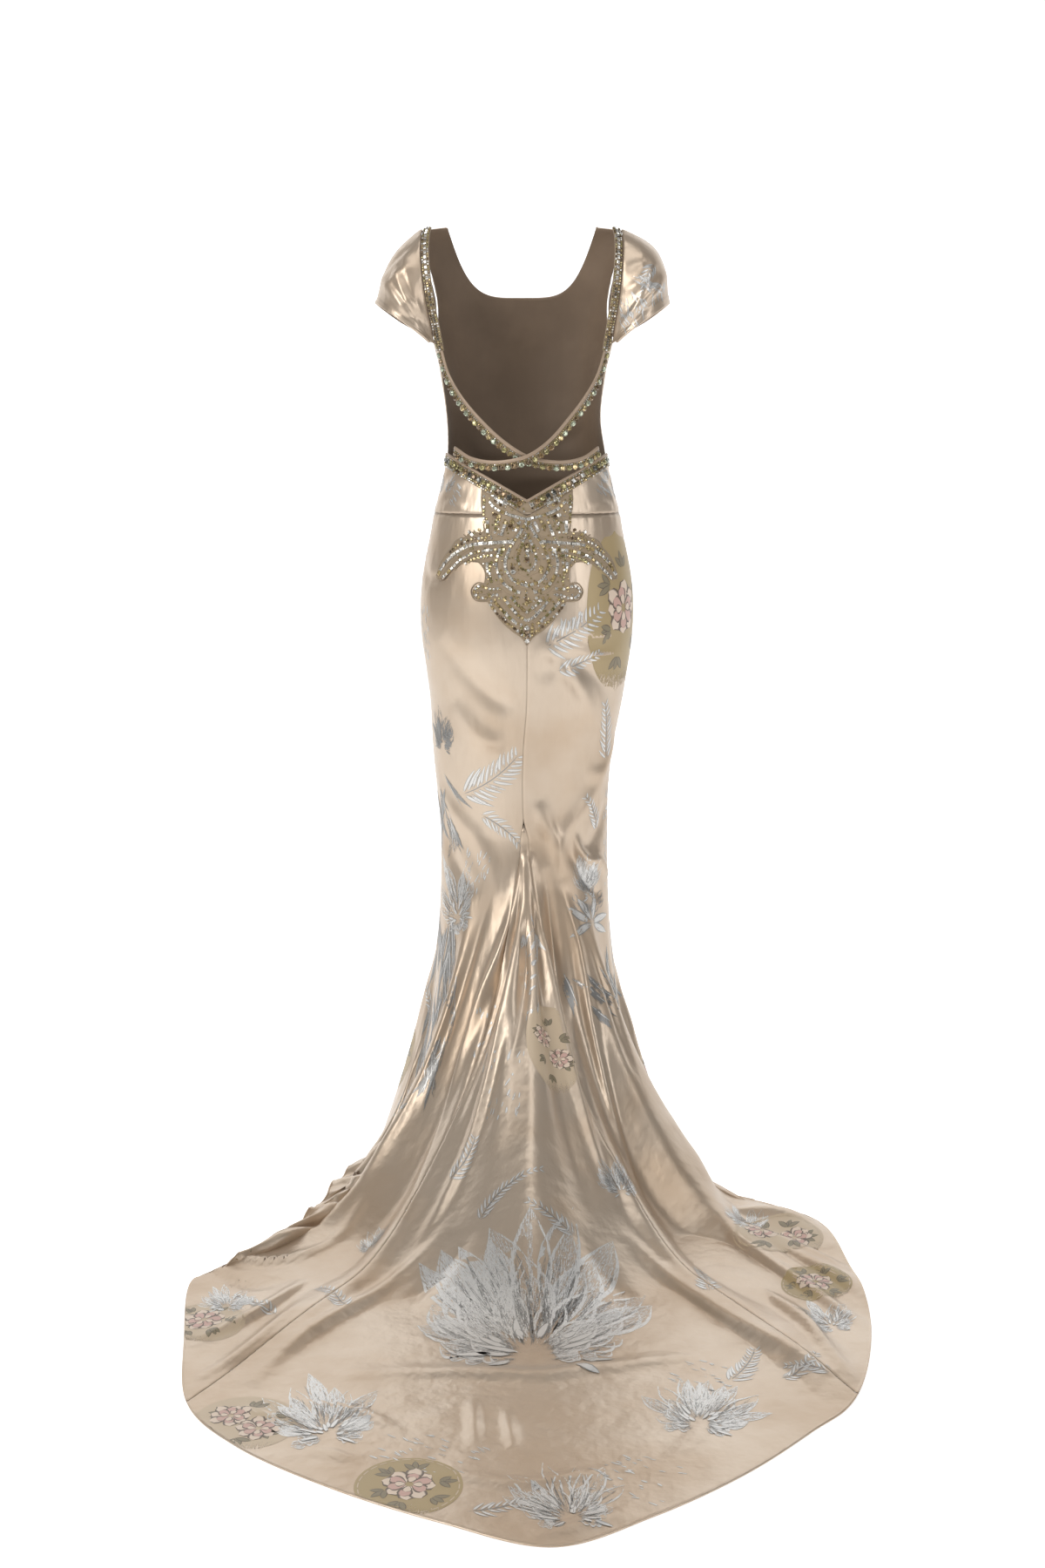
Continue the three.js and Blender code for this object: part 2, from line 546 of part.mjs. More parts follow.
// The sleeve cap: along runs round the arm from back to front, across from the armhole to the hem.
function sleevePoint(side, along, across) {
  const inner = armholeSeam(side, along);
  const hemRow = read(SLEEVE_HEM, "along", along);
  const lean = read(BODY_RINGS, "height", hemRow.height).lean;
  const hem = vec(lean + side * hemRow.x, hemRow.y, hemRow.height);
  const middle = Math.sin(Math.PI * THREE.MathUtils.clamp(along, 0, 1)) ** 0.6;
  const arch = Math.sin(Math.PI * THREE.MathUtils.clamp(across, 0, 1)) ** 1.15;
  let puff = SLEEVE_PUFF[side < 0 ? "left" : "right"] * middle * arch;
  for (const fold of SLEEVE_FOLDS) {
    const away = (across - fold.across) / fold.width;
    const start = smooth(fold.from, fold.from + 0.14, along);
    puff += fold.rise * Math.exp(-away * away) * start * (1 - smooth(fold.to - 0.14, fold.to, along));
  }
  const out = vec(side * 0.62, (along - 0.5) * 1.1, 0.62).normalize();
  return inner.lerp(hem, across).addScaledVector(out, puff);
}

const SHOULDER_SEAM = 1501;
const ARMHOLE_FOOT = 1326;
// Where the sleeve is sewn on: along the strip at the back, and along the bodice's armhole in front.
function armholeSeam(side, along) {
  const clear = STRIP_WIDTH / 2 + 1.2;
  if (along < 0.5) {
    const share = 1 - 2 * along;
    const out = stripOutward(side, share);
    return stripPoint(side, share).add(vec(side * clear, 0, 0)).addScaledVector(out, 0.4);
  }
  const height = mix(SHOULDER_SEAM, ARMHOLE_FOOT, 2 * along - 1);
  const start = frontPoint(side * bodiceEdge(SHOULDER_SEAM), SHOULDER_SEAM);
  const strip = stripPoint(side, 0).add(vec(side * clear, 0, 0));
  const away = 1 - smooth(0.5, 0.62, along);
  const seam = frontPoint(side * Math.max(bodiceEdge(height), 84), height);
  const shift = strip.sub(start).multiplyScalar(away);
  return seam.add(shift).add(vec(side * 3.3, 1.2 * (1 - away), 0));
}

function sleeveGeometry(side) {
  const surface = (u, v) => sleevePoint(side, side > 0 ? u : 1 - u, v);
  const edges = { left: fixed(0.02), right: fixed(0.985), stepU: 0.006, stepV: 0.01 };
  return panel(surface, edges, stopsBetween(0, 1, 9), 20, "", 0, 1.6);
}

// The front neck binding, laid on the bodice's top edge and made from its points, moved out.
function neckBindingGeometry(bodice) {
  const middle = (bodice[0].length - 1) / 2;
  const grid = [0, 1].map((row) =>
    Array.from({ length: 2 * NECK_COLUMNS + 1 }, (_, i) => {
      const { at, normal } = onGrid(bodice, middle - NECK_COLUMNS + i, row);
      const inner = at.addScaledVector(normal, SEAM_GAP);
      return { inner, outer: inner.clone().addScaledVector(normal, 1.4) };
    }),
  );
  return wallGeometry(grid);
}

// Outline of the applique, right half, as curves from the centre top round to the tip.
function appliqueShape() {
  const top = (x) => waistEdge(x) - WAIST_BAND_WIDTH - 3.4;
  const half = [
    { to: [70, top(70)] },
    { bend: [74, 1062], to: [62, 1052] },
    { bend: [60, 1040], to: [72, 1034] },
    { bend: [88, 1040], to: [94, 1028] },
    { bend: [112, 1026], to: [118, 1010] },
    { bend: [138, 992], to: [141, 962] },
    { bend: [133, 958], to: [128, 966] },
    { bend: [104, 996], to: [76, 990] },
    { bend: [60, 978], to: [66, 958] },
    { bend: [88, 952], to: [84, 938] },
    { bend: [76, 928], to: [62, 932] },
    { bend: [46, 900], to: [20, 882] },
    { bend: [8, 876], to: [0, 862] },
  ];
  const shape = new THREE.Shape();
  const centre = 0;
  shape.moveTo(centre, top(0));
  for (const { bend, to } of half) {
    if (bend) shape.quadraticCurveTo(centre + bend[0], bend[1], centre + to[0], to[1]);
    else shape.lineTo(centre + to[0], to[1]);
  }
  for (let i = half.length - 1; i >= 0; i -= 1) {
    const to = i > 0 ? half[i - 1].to : [0, top(0)];
    const bend = half[i].bend;
    if (bend) shape.quadraticCurveTo(centre - bend[0], bend[1], centre - to[0], to[1]);
    else shape.lineTo(centre - to[0], to[1]);
  }
  return shape;
}

function solid(geometry) {
  const bare = geometry.index ? geometry.toNonIndexed() : geometry.clone();
  for (const name of Object.keys(bare.attributes)) if (name !== "position") bare.deleteAttribute(name);
  const merged = mergeVertices(bare, 1e-4);
  return new wasm.Manifold(
    new wasm.Mesh({
      numProp: 3,
      vertProperties: merged.attributes.position.array,
      triVerts: new Uint32Array(merged.index.array),
    }),
  );
}

function geometryOf(manifold) {
  const mesh = manifold.getMesh();
  const geometry = new THREE.BufferGeometry();
  geometry.setAttribute("position", new THREE.BufferAttribute(mesh.vertProperties, 3));
  geometry.setIndex(new THREE.BufferAttribute(mesh.triVerts, 1));
  return geometry;
}

// The beaded applique: a thin shell laid over yoke and skirt, made from their points moved out, then
// cut to its outline. level counts the skirt's rows below the yoke seam, and is negative on the yoke.
function appliqueGeometry(yoke, left, right) {
  const reach = 13.5;
  const steps = 36;
  const lay = (across, level) => {
    if (level < 0) return onGrid(yoke, YOKE_COLUMNS / 2 + across, (yoke.length - 1) * (1 + level));
    const [a, b] = [onGrid(left, YOKE_COLUMNS / 2 + across, level), onGrid(right, across, level)];
    if (across !== 0) return across < 0 ? a : b;
    return { at: a.at.lerp(b.at, 0.5), normal: a.normal.lerp(b.normal, 0.5).normalize() };
  };
  const levels = [-0.9, -0.6, -0.3, -0.01, 0.01, 0.5, 1, 1.5, 2, 2.5, 3, 3.5, 4, 4.4];
  const grid = levels.map((level) =>
    Array.from({ length: steps + 1 }, (_, i) => {
      const { at, normal } = lay(mix(-reach, reach, i / steps), level);
      const inner = at.addScaledVector(normal, SEAM_GAP);
      return { inner, outer: inner.clone().addScaledVector(normal, APPLIQUE_THICKNESS) };
    }),
  );
  const blade = new THREE.ExtrudeGeometry(appliqueShape(), {
    depth: 300,
    bevelEnabled: false,
    curveSegments: 4,
  }).rotateX(Math.PI / 2);
  return geometryOf(solid(wallGeometry(grid)).intersect(solid(blade)));
}

const MATERIALS = {
  satin: { color: "#d9bd9c", roughness: 0.34, metalness: 0.1 },
  beads: { color: "#9a8a5c", roughness: 0.3, metalness: 0.5 },
  binding: { color: "#c9a988", roughness: 0.5, metalness: 0 },
};

const gown = new THREE.Group();
gown.position.z = -SHOULDER_HEIGHT;

function add(name, geometry, material) {
  const mesh = new THREE.Mesh(geometry, new THREE.MeshStandardMaterial(MATERIALS[material]));
  mesh.name = name;
  gown.add(mesh);
}

const gussetStops = [-0.045, ...stopsBetween(0, 1, 22)];
const skirtStops = [...stopsBetween(-1, -0.11, 9), ...gussetStops];
const skirtSeams = ["left", "right", "top"];
const backLeft = skirtGrid(-SIDE, -GUSSET, skirtStops, YOKE_COLUMNS / 2, skirtSeams);
const backRight = skirtGrid(GUSSET, SIDE, skirtStops, YOKE_COLUMNS / 2, skirtSeams);
add("back_left", wallGeometry(backLeft), "satin");
add("back_right", wallGeometry(backRight), "satin");
add("skirt_front", wallGeometry(skirtGrid(SIDE, 360 - SIDE, skirtStops, 14, skirtSeams)), "satin");
add("train_gusset", wallGeometry(skirtGrid(-GUSSET, GUSSET, gussetStops, 24, skirtSeams)), "satin");

const yokeEdges = { left: fixed(-SIDE), right: fixed(SIDE), stepU: 0.4, stepV: 0.01 };
const yoke = panelGrid(yokePoint, yokeEdges, [0, 1 / 3, 2 / 3, 1], YOKE_COLUMNS, ["left", "right", "foot"]);
add("yoke_back", wallGeometry(yoke), "satin");
const bodiceEdges = { left: fixed(-1), right: fixed(1), stepU: 0.002, stepV: 0.002 };
const bodiceStops = [0.004, 0.032, 0.08, 0.17, 0.27, 0.36, 0.43, 0.54, 0.67, 0.78, 1];
const bodiceSeams = ["left", "right", "foot"];
const bodice = panelGrid(bodicePoint, bodiceEdges, bodiceStops, 36, bodiceSeams);
add("bodice_front", wallGeometry(bodice), "satin");
add("neck_binding", neckBindingGeometry(bodice), "binding");
for (const [name, side] of [["left", -1], ["right", 1]]) {
  add(`back_strip_${name}`, stripGeometry(side), "beads");
  add(`strap_${name}`, strapGeometry(side, side > 0 ? STRAP_OVER : 0), "beads");
  add(`sleeve_${name}`, sleeveGeometry(side), "satin");
}
add("waist_band", waistBandGeometry(yoke), "beads");
add("applique", appliqueGeometry(yoke, backLeft, backRight), "beads");

export default gown;
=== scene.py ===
"""Evening gown with cap sleeves, an open back with crossed beaded straps and a long train.

Every panel is a surface of two parameters, worked out with numpy in millimetres above the floor, in the
sizes that the part's solids are made from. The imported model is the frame: +Z up, the wearer faces +Y,
+X is the wearer's right, and the shoulders stand at z 0, which is 1500 mm above the floor.
"""
import functools

import bpy
import numpy as np
from bpy.props import FloatProperty, FloatVectorProperty, PointerProperty
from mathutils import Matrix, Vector
from mathutils.geometry import delaunay_2d_cdt


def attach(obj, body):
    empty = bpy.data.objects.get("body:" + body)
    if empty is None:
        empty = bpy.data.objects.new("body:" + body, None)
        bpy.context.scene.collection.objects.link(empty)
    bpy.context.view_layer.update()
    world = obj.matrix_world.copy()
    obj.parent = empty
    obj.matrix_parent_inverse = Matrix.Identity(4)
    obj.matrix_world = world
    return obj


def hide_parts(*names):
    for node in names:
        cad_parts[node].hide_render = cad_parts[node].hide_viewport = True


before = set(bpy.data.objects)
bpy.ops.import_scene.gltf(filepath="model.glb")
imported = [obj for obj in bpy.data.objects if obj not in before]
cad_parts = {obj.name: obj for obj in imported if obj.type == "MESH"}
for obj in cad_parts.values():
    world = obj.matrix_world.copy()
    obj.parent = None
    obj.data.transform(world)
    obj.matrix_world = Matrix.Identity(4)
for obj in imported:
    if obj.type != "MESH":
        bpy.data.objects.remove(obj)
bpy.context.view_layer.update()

bl_info = {
    "name": "Evening gown with a train",
    "version": (1, 0, 0),
    "blender": (4, 5, 0),
    "location": "3D View > Sidebar > Gown",
    "description": "Satin gown with woven flowers, beaded straps and a train, on the packed model",
    "category": "Object",
}

RAD = np.pi / 180
SHOULDER = 1500.0  # height of the shoulders, mm
YOKE_SEAM = 1063.0  # height of the yoke's lower seam
FLARE = 550.0  # height where the skirt leaves the legs
SIDE = 90.0  # turn of the side seams
GUSSET = 40.0  # turn of the train gusset's seams
GUSSET_TOP = -0.045  # where the gusset's point begins, as a share above the flare
STRIP = 13.0  # width of the shoulder strips, mm

# The worn form: height, half width, depth to the back, depth to the front, sideways lean.
BODY = [
    (550, 135, 100, 90, -4), (623, 139, 105, 91, -7), (692, 146, 111, 93, -6), (760, 154, 119, 95, -1),
    (812, 161, 126, 96, 0), (863, 168, 131, 97, 0), (913, 170, 131, 98, 0), (964, 166, 126, 98, 0),
    (1030, 153, 113, 96, 0), (1063, 147, 106, 94, 0), (1097, 138, 97, 92, 0), (1129, 130, 89, 91, 0),
    (1162, 124, 84, 91, -1), (1211, 121, 85, 97, -5), (1265, 127, 91, 108, -6), (1323, 139, 96, 115, -6),
    (1380, 150, 96, 107, -7), (1440, 158, 90, 84, -8), (1510, 163, 80, 62, -8),
]

# The hem on the floor: turn, x, y, share of the way out where the cloth lands, slope there in degrees,
# and how long it keeps its upper and its lower direction.
HEM = [
    (-210, 118, 196, 1, 76, 200, 150), (-180, -5, 232, 1, 76, 200, 150), (-150, -128, 196, 1, 76, 200, 150),
    (-120, -216, 92, 1, 74, 200, 150), (-100, -254, -28, 1, 64, 270, 150),
    (-90, -292, -122, 0.8, 32, 380, 90), (-80, -318, -262, 0.74, 20, 360, 120),
    (-70, -362, -392, 0.7, 8, 330, 150), (-60, -434, -508, 0.64, 3, 220, 190),
    (-55, -474, -556, 0.62, 1, 195, 215), (-50, -456, -712, 0.6, 0, 170, 240),
    (-40, -422, -892, 0.58, 0, 165, 260), (-30, -345, -1000, 0.58, 0, 160, 270),
    (-20, -226, -1092, 0.58, 0, 160, 280), (-10, -98, -1164, 0.58, 0, 160, 280),
    (0, 26, -1212, 0.58, 0, 160, 280), (10, 138, -1152, 0.58, 0, 160, 280),
    (20, 246, -1066, 0.58, 0, 160, 280), (30, 338, -968, 0.58, 0, 160, 270),
    (40, 410, -876, 0.58, 0, 165, 260), (50, 460, -690, 0.6, 0, 170, 240),
    (60, 466, -520, 0.64, 3, 190, 210), (70, 438, -322, 0.66, 8, 330, 160),
    (80, 350, -264, 0.72, 22, 360, 120), (90, 276, -130, 0.9, 46, 380, 120),
    (100, 240, -26, 1, 66, 270, 150), (120, 206, 92, 1, 74, 200, 150), (150, 118, 196, 1, 76, 200, 150),
    (180, -5, 232, 1, 76, 200, 150), (210, -128, 196, 1, 76, 200, 150),
]

# Large folds: turn, half width in degrees, rise in mm, first and last share of the flare, sideways drift.
FOLDS = [
    (-40, 4, 11, 0.3, 0.95, 0), (-27, 6, -9, 0.2, 0.6, 2), (-14, 5, 9, 0.06, 0.5, 0),
    (-2, 5, -8, 0.08, 0.45, -2), (8, 4.5, 9, 0.06, 0.42, 2), (19, 6, -11, 0.16, 0.6, 2),
    (40, 4, 14, 0.3, 1.05, 0), (31, 5, -8, 0.55, 1.05, 0), (47, 5, -22, 0.08, 0.9, 2),
    (56, 4.5, 17, 0.2, 1.1, 2), (64, 5, 30, 0.06, 0.8, 2), (66, 3.6, 15, 0.7, 1.1, 0),
    (61, 3, -8, 0.7, 1.1, 0), (76, 5, -26, 0.1, 0.8, 0), (75, 3, 12, 0.75, 1.1, 0),
    (84, 5, 12, 0.3, 1.1, 0), (-48, 4.5, -18, 0.1, 0.8, -1), (-49, 3, 9, 0.75, 1.1, -1),
    (-57, 5, 20, 0.04, 0.85, -2), (-55, 2.4, 10, 0.78, 1.1, 0), (-66, 5, -16, 0.1, 0.8, -1),
    (-62, 2.4, 17, 0.72, 1.3, 0), (-69, 2.4, 19, 0.7, 1.3, 0), (-76, 2.6, 20, 0.6, 1.3, 0),
    (-83, 2.8, 21, 0.55, 1.3, 0), (-92, 4, 12, 0.3, 1.1, 0), (-108, 6, 10, 0.25, 1.1, 0),
    (-128, 7, 12, 0.2, 1.1, 0), (-152, 7, 9, 0.25, 1.1, 0), (-174, 7, 11, 0.2, 1.1, 0),
    (164, 7, 9, 0.25, 1.1, 0), (141, 7, 12, 0.2, 1.1, 0), (118, 6, 10, 0.25, 1.1, 0),
    (99, 5, 11, 0.3, 1.1, 0),
]

# Edge of the bodice: height and turn where it ends.
BODICE_EDGE = [
    (1063, 90), (1110, 90), (1160, 90), (1180, 88.5), (1211, 86), (1265, 82), (1298, 75), (1313, 69.2),
    (1326, 84), (1343, 105), (1383, 117), (1427, 116), (1466, 110), (1503, 104),
]
# Beaded strip over the shoulder: share, x, y, height.
STRIP_PATH = [
    (0, 147, 0, 1502), (0.12, 149, -24, 1486), (0.3, 149, -43, 1459), (0.5, 146, -54, 1421),
    (0.7, 141, -54, 1383), (0.86, 135, -47, 1350), (1, 129, -34, 1314),
]
# Crossed strap: share, x, height, clearance from the figure.
STRAP_PATH = [
    (0, 129, 1312.4, 2.4), (0.12, 117, 1272, 3), (0.25, 97, 1236, 6), (0.38, 70, 1202, 9),
    (0.5, 41, 1172, 11), (0.6, 10, 1150, 12), (0.7, -20, 1140, 12), (0.8, -55, 1137, 11),
    (0.9, -88, 1143.4, 7), (1, -113, 1159.5, 5.6),
]
# Hem of the cap sleeve, from the back of the arm to the front: share, x, y, height.
SLEEVE_HEM = [
    (0, 143, -50, 1322), (0.14, 166, -66, 1341), (0.28, 194, -64, 1361), (0.4, 217, -40, 1378),
    (0.5, 230, 0, 1388), (0.6, 220, 40, 1380), (0.72, 197, 66, 1364), (0.86, 164, 62, 1345),
    (1, 148, 22, 1328),
]
# Folds of the sleeve: place across, half width, rise, first and last share along.
SLEEVE_FOLDS = [
    (0.25, 0.1, 5, 0.02, 0.46), (0.5, 0.09, 6, 0.02, 0.42), (0.74, 0.08, 5, 0.02, 0.55),
    (0.35, 0.1, 4, 0.58, 0.98), (0.68, 0.1, 5, 0.55, 0.98),
]


def smooth(low, high, value):
    """0 below low, 1 above high, and s * s * (3 - 2 s) between them."""
    s = np.clip((value - low) / (high - low), 0, 1)
    return s * s * (3 - 2 * s)


def bell(value, middle, width):
    """exp(-((value - middle) / width)^2)."""
    return np.exp(-((value - middle) / width)**2)


def read(rows, at):
    """Columns of a table at key values: cubic Hermite pieces whose slopes join each row's neighbours."""
    rows = np.asarray(rows, float)
    key, cols = rows[:, 0], rows[:, 1:]
    last = len(key) - 1
    at = np.clip(np.asarray(at, float), key[0], key[last])
    i = np.clip(np.searchsorted(key, at, side="right") - 1, 0, last - 1)
    low, high = np.maximum(np.arange(last + 1) - 1, 0), np.minimum(np.arange(last + 1) + 1, last)
    slope = (cols[high] - cols[low]) / (key[high] - key[low])[:, None]
    step = (key[i + 1] - key[i])[..., None]
    s = (at - key[i])[..., None] / step
    return ((2 * s**3 - 3 * s**2 + 1) * cols[i] + (s**3 - 2 * s**2 + s) * slope[i] * step
            + (3 * s**2 - 2 * s**3) * cols[i + 1] + (s**3 - s**2) * slope[i + 1] * step)


def unit(v):
    """v over its own length."""
    return v / np.maximum(np.linalg.norm(v, axis=-1, keepdims=True), 1e-9)


def square_to(v, way):
    """v less its part along the unit vector way."""
    return v - (v * way).sum(-1, keepdims=True) * way


def polar(far, turn):
    """x and y at a distance and a turn in degrees."""
    return far * np.cos(turn * RAD), far * np.sin(turn * RAD)


def run_length(points):
    """Running length along a row of points, from 0."""
    return np.cumsum(np.r_[0, np.linalg.norm(np.diff(points, axis=0), axis=-1)])


def body_point(turn, height):
    """Ring of two half ellipses: x = lean + half sin(turn), y = -depth cos(turn), at each height."""
    ring = read(BODY, height)
    depth = np.where(np.cos(turn * RAD) > 0, ring[..., 1], ring[..., 2])
    return np.stack([ring[..., 3] + ring[..., 0] * np.sin(turn * RAD), -depth * np.cos(turn * RAD),
                     height + 0 * turn], -1)


def body_turn(label, drop):
    """Turn on the body of a skirt label: labels inside the gusset close up to its point."""
    point = 3.2 * smooth(-0.07, 0.02, drop)
    side = np.abs(label)
    inner = point * side / GUSSET
    outer = point + (SIDE - point) * (side - GUSSET) / (SIDE - GUSSET)
    return np.where(side > SIDE, label, np.sign(label) * np.where(side < GUSSET, inner, outer))


def flare_point(label, drop):
    """A cubic Bezier from the leg to where the cloth lands, then a straight run over the floor to the hem."""
    row = read(HEM, np.where(label > 180, label - 360, label))
    top = body_point(body_turn(label, 0 * label), FLARE + 0 * label)
    hem = np.stack([row[..., 0], row[..., 1], 0 * label], -1)
    landing = top + (hem - top) * np.minimum(row[..., 2:3], 1)
    landing[..., 2] = 0
    flat = (top - hem) * [1, 1, 0]
    slope = np.maximum(row[..., 3:4], 0) * RAD
    below = top.copy()
    below[..., 2] = FLARE - row[..., 4]
    near = landing + unit(flat) * row[..., 5:6] * np.cos(slope)
    near[..., 2] = (row[..., 5:6] * np.sin(slope))[..., 0]
    hang = np.linalg.norm(top - landing, axis=-1) * 1.06
    lie = np.linalg.norm(landing - hem, axis=-1)
    share = hang / (hang + lie)
    share = np.where(share > 0.999, 1, share)
    t = np.clip(drop / share, 0, 1)[..., None]
    curve = (1 - t)**3 * top + 3 * t * (1 - t)**2 * below + 3 * t**2 * (1 - t) * near + t**3 * landing
    along = ((drop - share) / np.maximum(1 - share, 1e-6))[..., None]
    return np.where((drop <= share)[..., None], curve, landing + (hem - landing) * along)


def skirt_plain(label, drop):
    """The skirt without folds: drop is -1 at the yoke seam, 0 at the flare and 1 at the hem."""
    label, drop = np.broadcast_arrays(np.asarray(label, float), np.asarray(drop, float))
    up = body_point(body_turn(label, drop), FLARE + (YOKE_SEAM - FLARE) * np.clip(-drop, 0, None))
    return np.where((drop > 0)[..., None], flare_point(label, np.maximum(drop, 0)), up)


def fold_rise(label, drop):
    """Sum of ridges: rise * exp(-(turn away / width)^2), faded in and out along the flare."""
    rise = 0 * label * drop
    for turn, width, height, first, last, drift in FOLDS:
        away = label - turn - drift * drop
        away = np.where(away > 180, away - 360, away) / width
        rise = rise + (height * np.exp(-away * away) * smooth(first, first + 0.22, drop)
                       * (1 - smooth(last - 0.2, last, drop)))
    return rise


def outward(surface, u, v, du, dv):
    """Outward direction: the slope down crossed with the slope across."""
    return unit(np.cross(surface(u, v + dv) - surface(u, v - dv), surface(u + du, v) - surface(u - du, v)))


def skirt_point(label, drop):
    """The plain skirt moved out by its large folds, which grow as the cloth widens."""
    plain = skirt_plain(label, drop)
    rise = fold_rise(label, drop) * np.clip(1.9 * drop, 0, 1)
    return plain + outward(skirt_plain, label, drop, 0.5, 0.004) * (rise * (drop > 0))[..., None]


def waist_edge(x):
    """Height of the back waist edge, a shallow V: 1084 + 0.58 |x|."""
    return 1084 + 0.58 * np.abs(x)


def yoke_point(label, drop):
    """The form between the waist edge, drop 0, and the yoke seam, drop 1."""
    height = YOKE_SEAM + 0 * label
    for _ in range(4):
        height = waist_edge(body_point(label, height)[..., 0])
    return body_point(label, height + (YOKE_SEAM - height) * drop)


def front_point(turn, height):
    """The front of the form; its last 58 mm curve over to a ridge at the shoulder, as sqrt(1 - (1 - s)^2)."""
    point = body_point(turn, height)
    lean = read(BODY, height)[..., 3]
    ridge = 1503 + 0.12 * (147 - np.abs(point[..., 0] - lean))
    below = np.clip((ridge - height) / 58, 0, 1)
    round_in = np.sqrt(np.maximum(1 - (1 - below)**2, 0))
    point[..., 1] = np.where(point[..., 1] > 0, point[..., 1] * round_in, point[..., 1])
    return point


def bodice_point(u, v):
    """The bodice front: u is -1 at the wearer's left edge and 1 at the right, v 0 at the top edge."""
    share = np.abs(u)
    x = 162 * np.sin(share * 76 * RAD)
    top = 1405 + (1502.4 + 0.12 * (147 - x) - 1405) * np.minimum(x / 116, 1)**4.5
    height = top + (YOKE_SEAM - top) * v
    plain = 90 + 14 * smooth(1150, 1500, height)
    turn = 180 - share * (180 - plain) + share**6 * (read(BODICE_EDGE, height)[..., 0] - plain)
    return front_point(np.where(u < 0, -turn, turn), height)


def back_point(x, height, clear):
    """A point on the open back, standing clear of the form."""
    ring = read(BODY, height)
    inside = np.sqrt(np.maximum(1 - (x / (ring[..., 0] + clear))**2, 0.02))
    return np.stack([ring[..., 3] + x, -(ring[..., 1] + clear) * inside, height + 0 * x], -1)


def strip_point(side, share):
    row = read(STRIP_PATH, share)
    lean = read(BODY, row[..., 2])[..., 3]
    return np.stack([lean + side * row[..., 0], row[..., 1], row[..., 2]], -1)


def strip_outward(side, share):
    """The strip faces back and turns up over the shoulder."""
    up = 1 - smooth(0, 0.45, share)
    return unit(np.stack([side * 0.35 + 0 * up, -1 + 0.8 * up, 1.6 * up], -1))


def armhole_seam(side, along):
    """Where the sleeve is sewn on: along the strip at the back and the armhole in front."""
    clear = np.array([side * (STRIP / 2 + 1.2), 0, 0])
    share = np.clip(1 - 2 * along, 0, 1)
    back = strip_point(side, share) + clear + 0.4 * strip_outward(side, share)
    height = 1501 + (1326 - 1501) * np.clip(2 * along - 1, 0, 1)
    start = front_point(side * read(BODICE_EDGE, np.array(1501.0))[0], np.array(1501.0))
    shift = strip_point(side, np.array(0.0)) + clear - start
    away = (1 - smooth(0.5, 0.62, along))[..., None]
    seam = front_point(side * np.maximum(read(BODICE_EDGE, height)[..., 0], 84), height)
    front = seam + shift * away + np.concatenate([side * 3.3 + 0 * away, 1.2 * (1 - away), 0 * away], -1)
    return np.where((along < 0.5)[..., None], back, front)


def sleeve_point(side, along, across):
    """From the armhole to the hem, puffed out by sin(across), with folds running along."""
    inner = armhole_seam(side, along)
    row = read(SLEEVE_HEM, along)
    lean = read(BODY, row[..., 2])[..., 3]
    hem = np.stack([lean + side * row[..., 0], row[..., 1], row[..., 2]], -1)
    middle = np.sin(np.pi * np.clip(along, 0, 1))**0.6
    puff = (15 if side < 0 else 27) * middle * np.sin(np.pi * np.clip(across, 0, 1))**1.15
    for place, width, rise, first, last in SLEEVE_FOLDS:
        puff = puff + (rise * bell(across, place, width) * smooth(first, first + 0.14, along)
                       * (1 - smooth(last - 0.14, last, along)))
    out = unit(np.stack([side * 0.62 + 0 * along, (along - 0.5) * 1.1, 0.62 + 0 * along], -1))
    return inner + (hem - inner) * across[..., None] + out * puff[..., None]


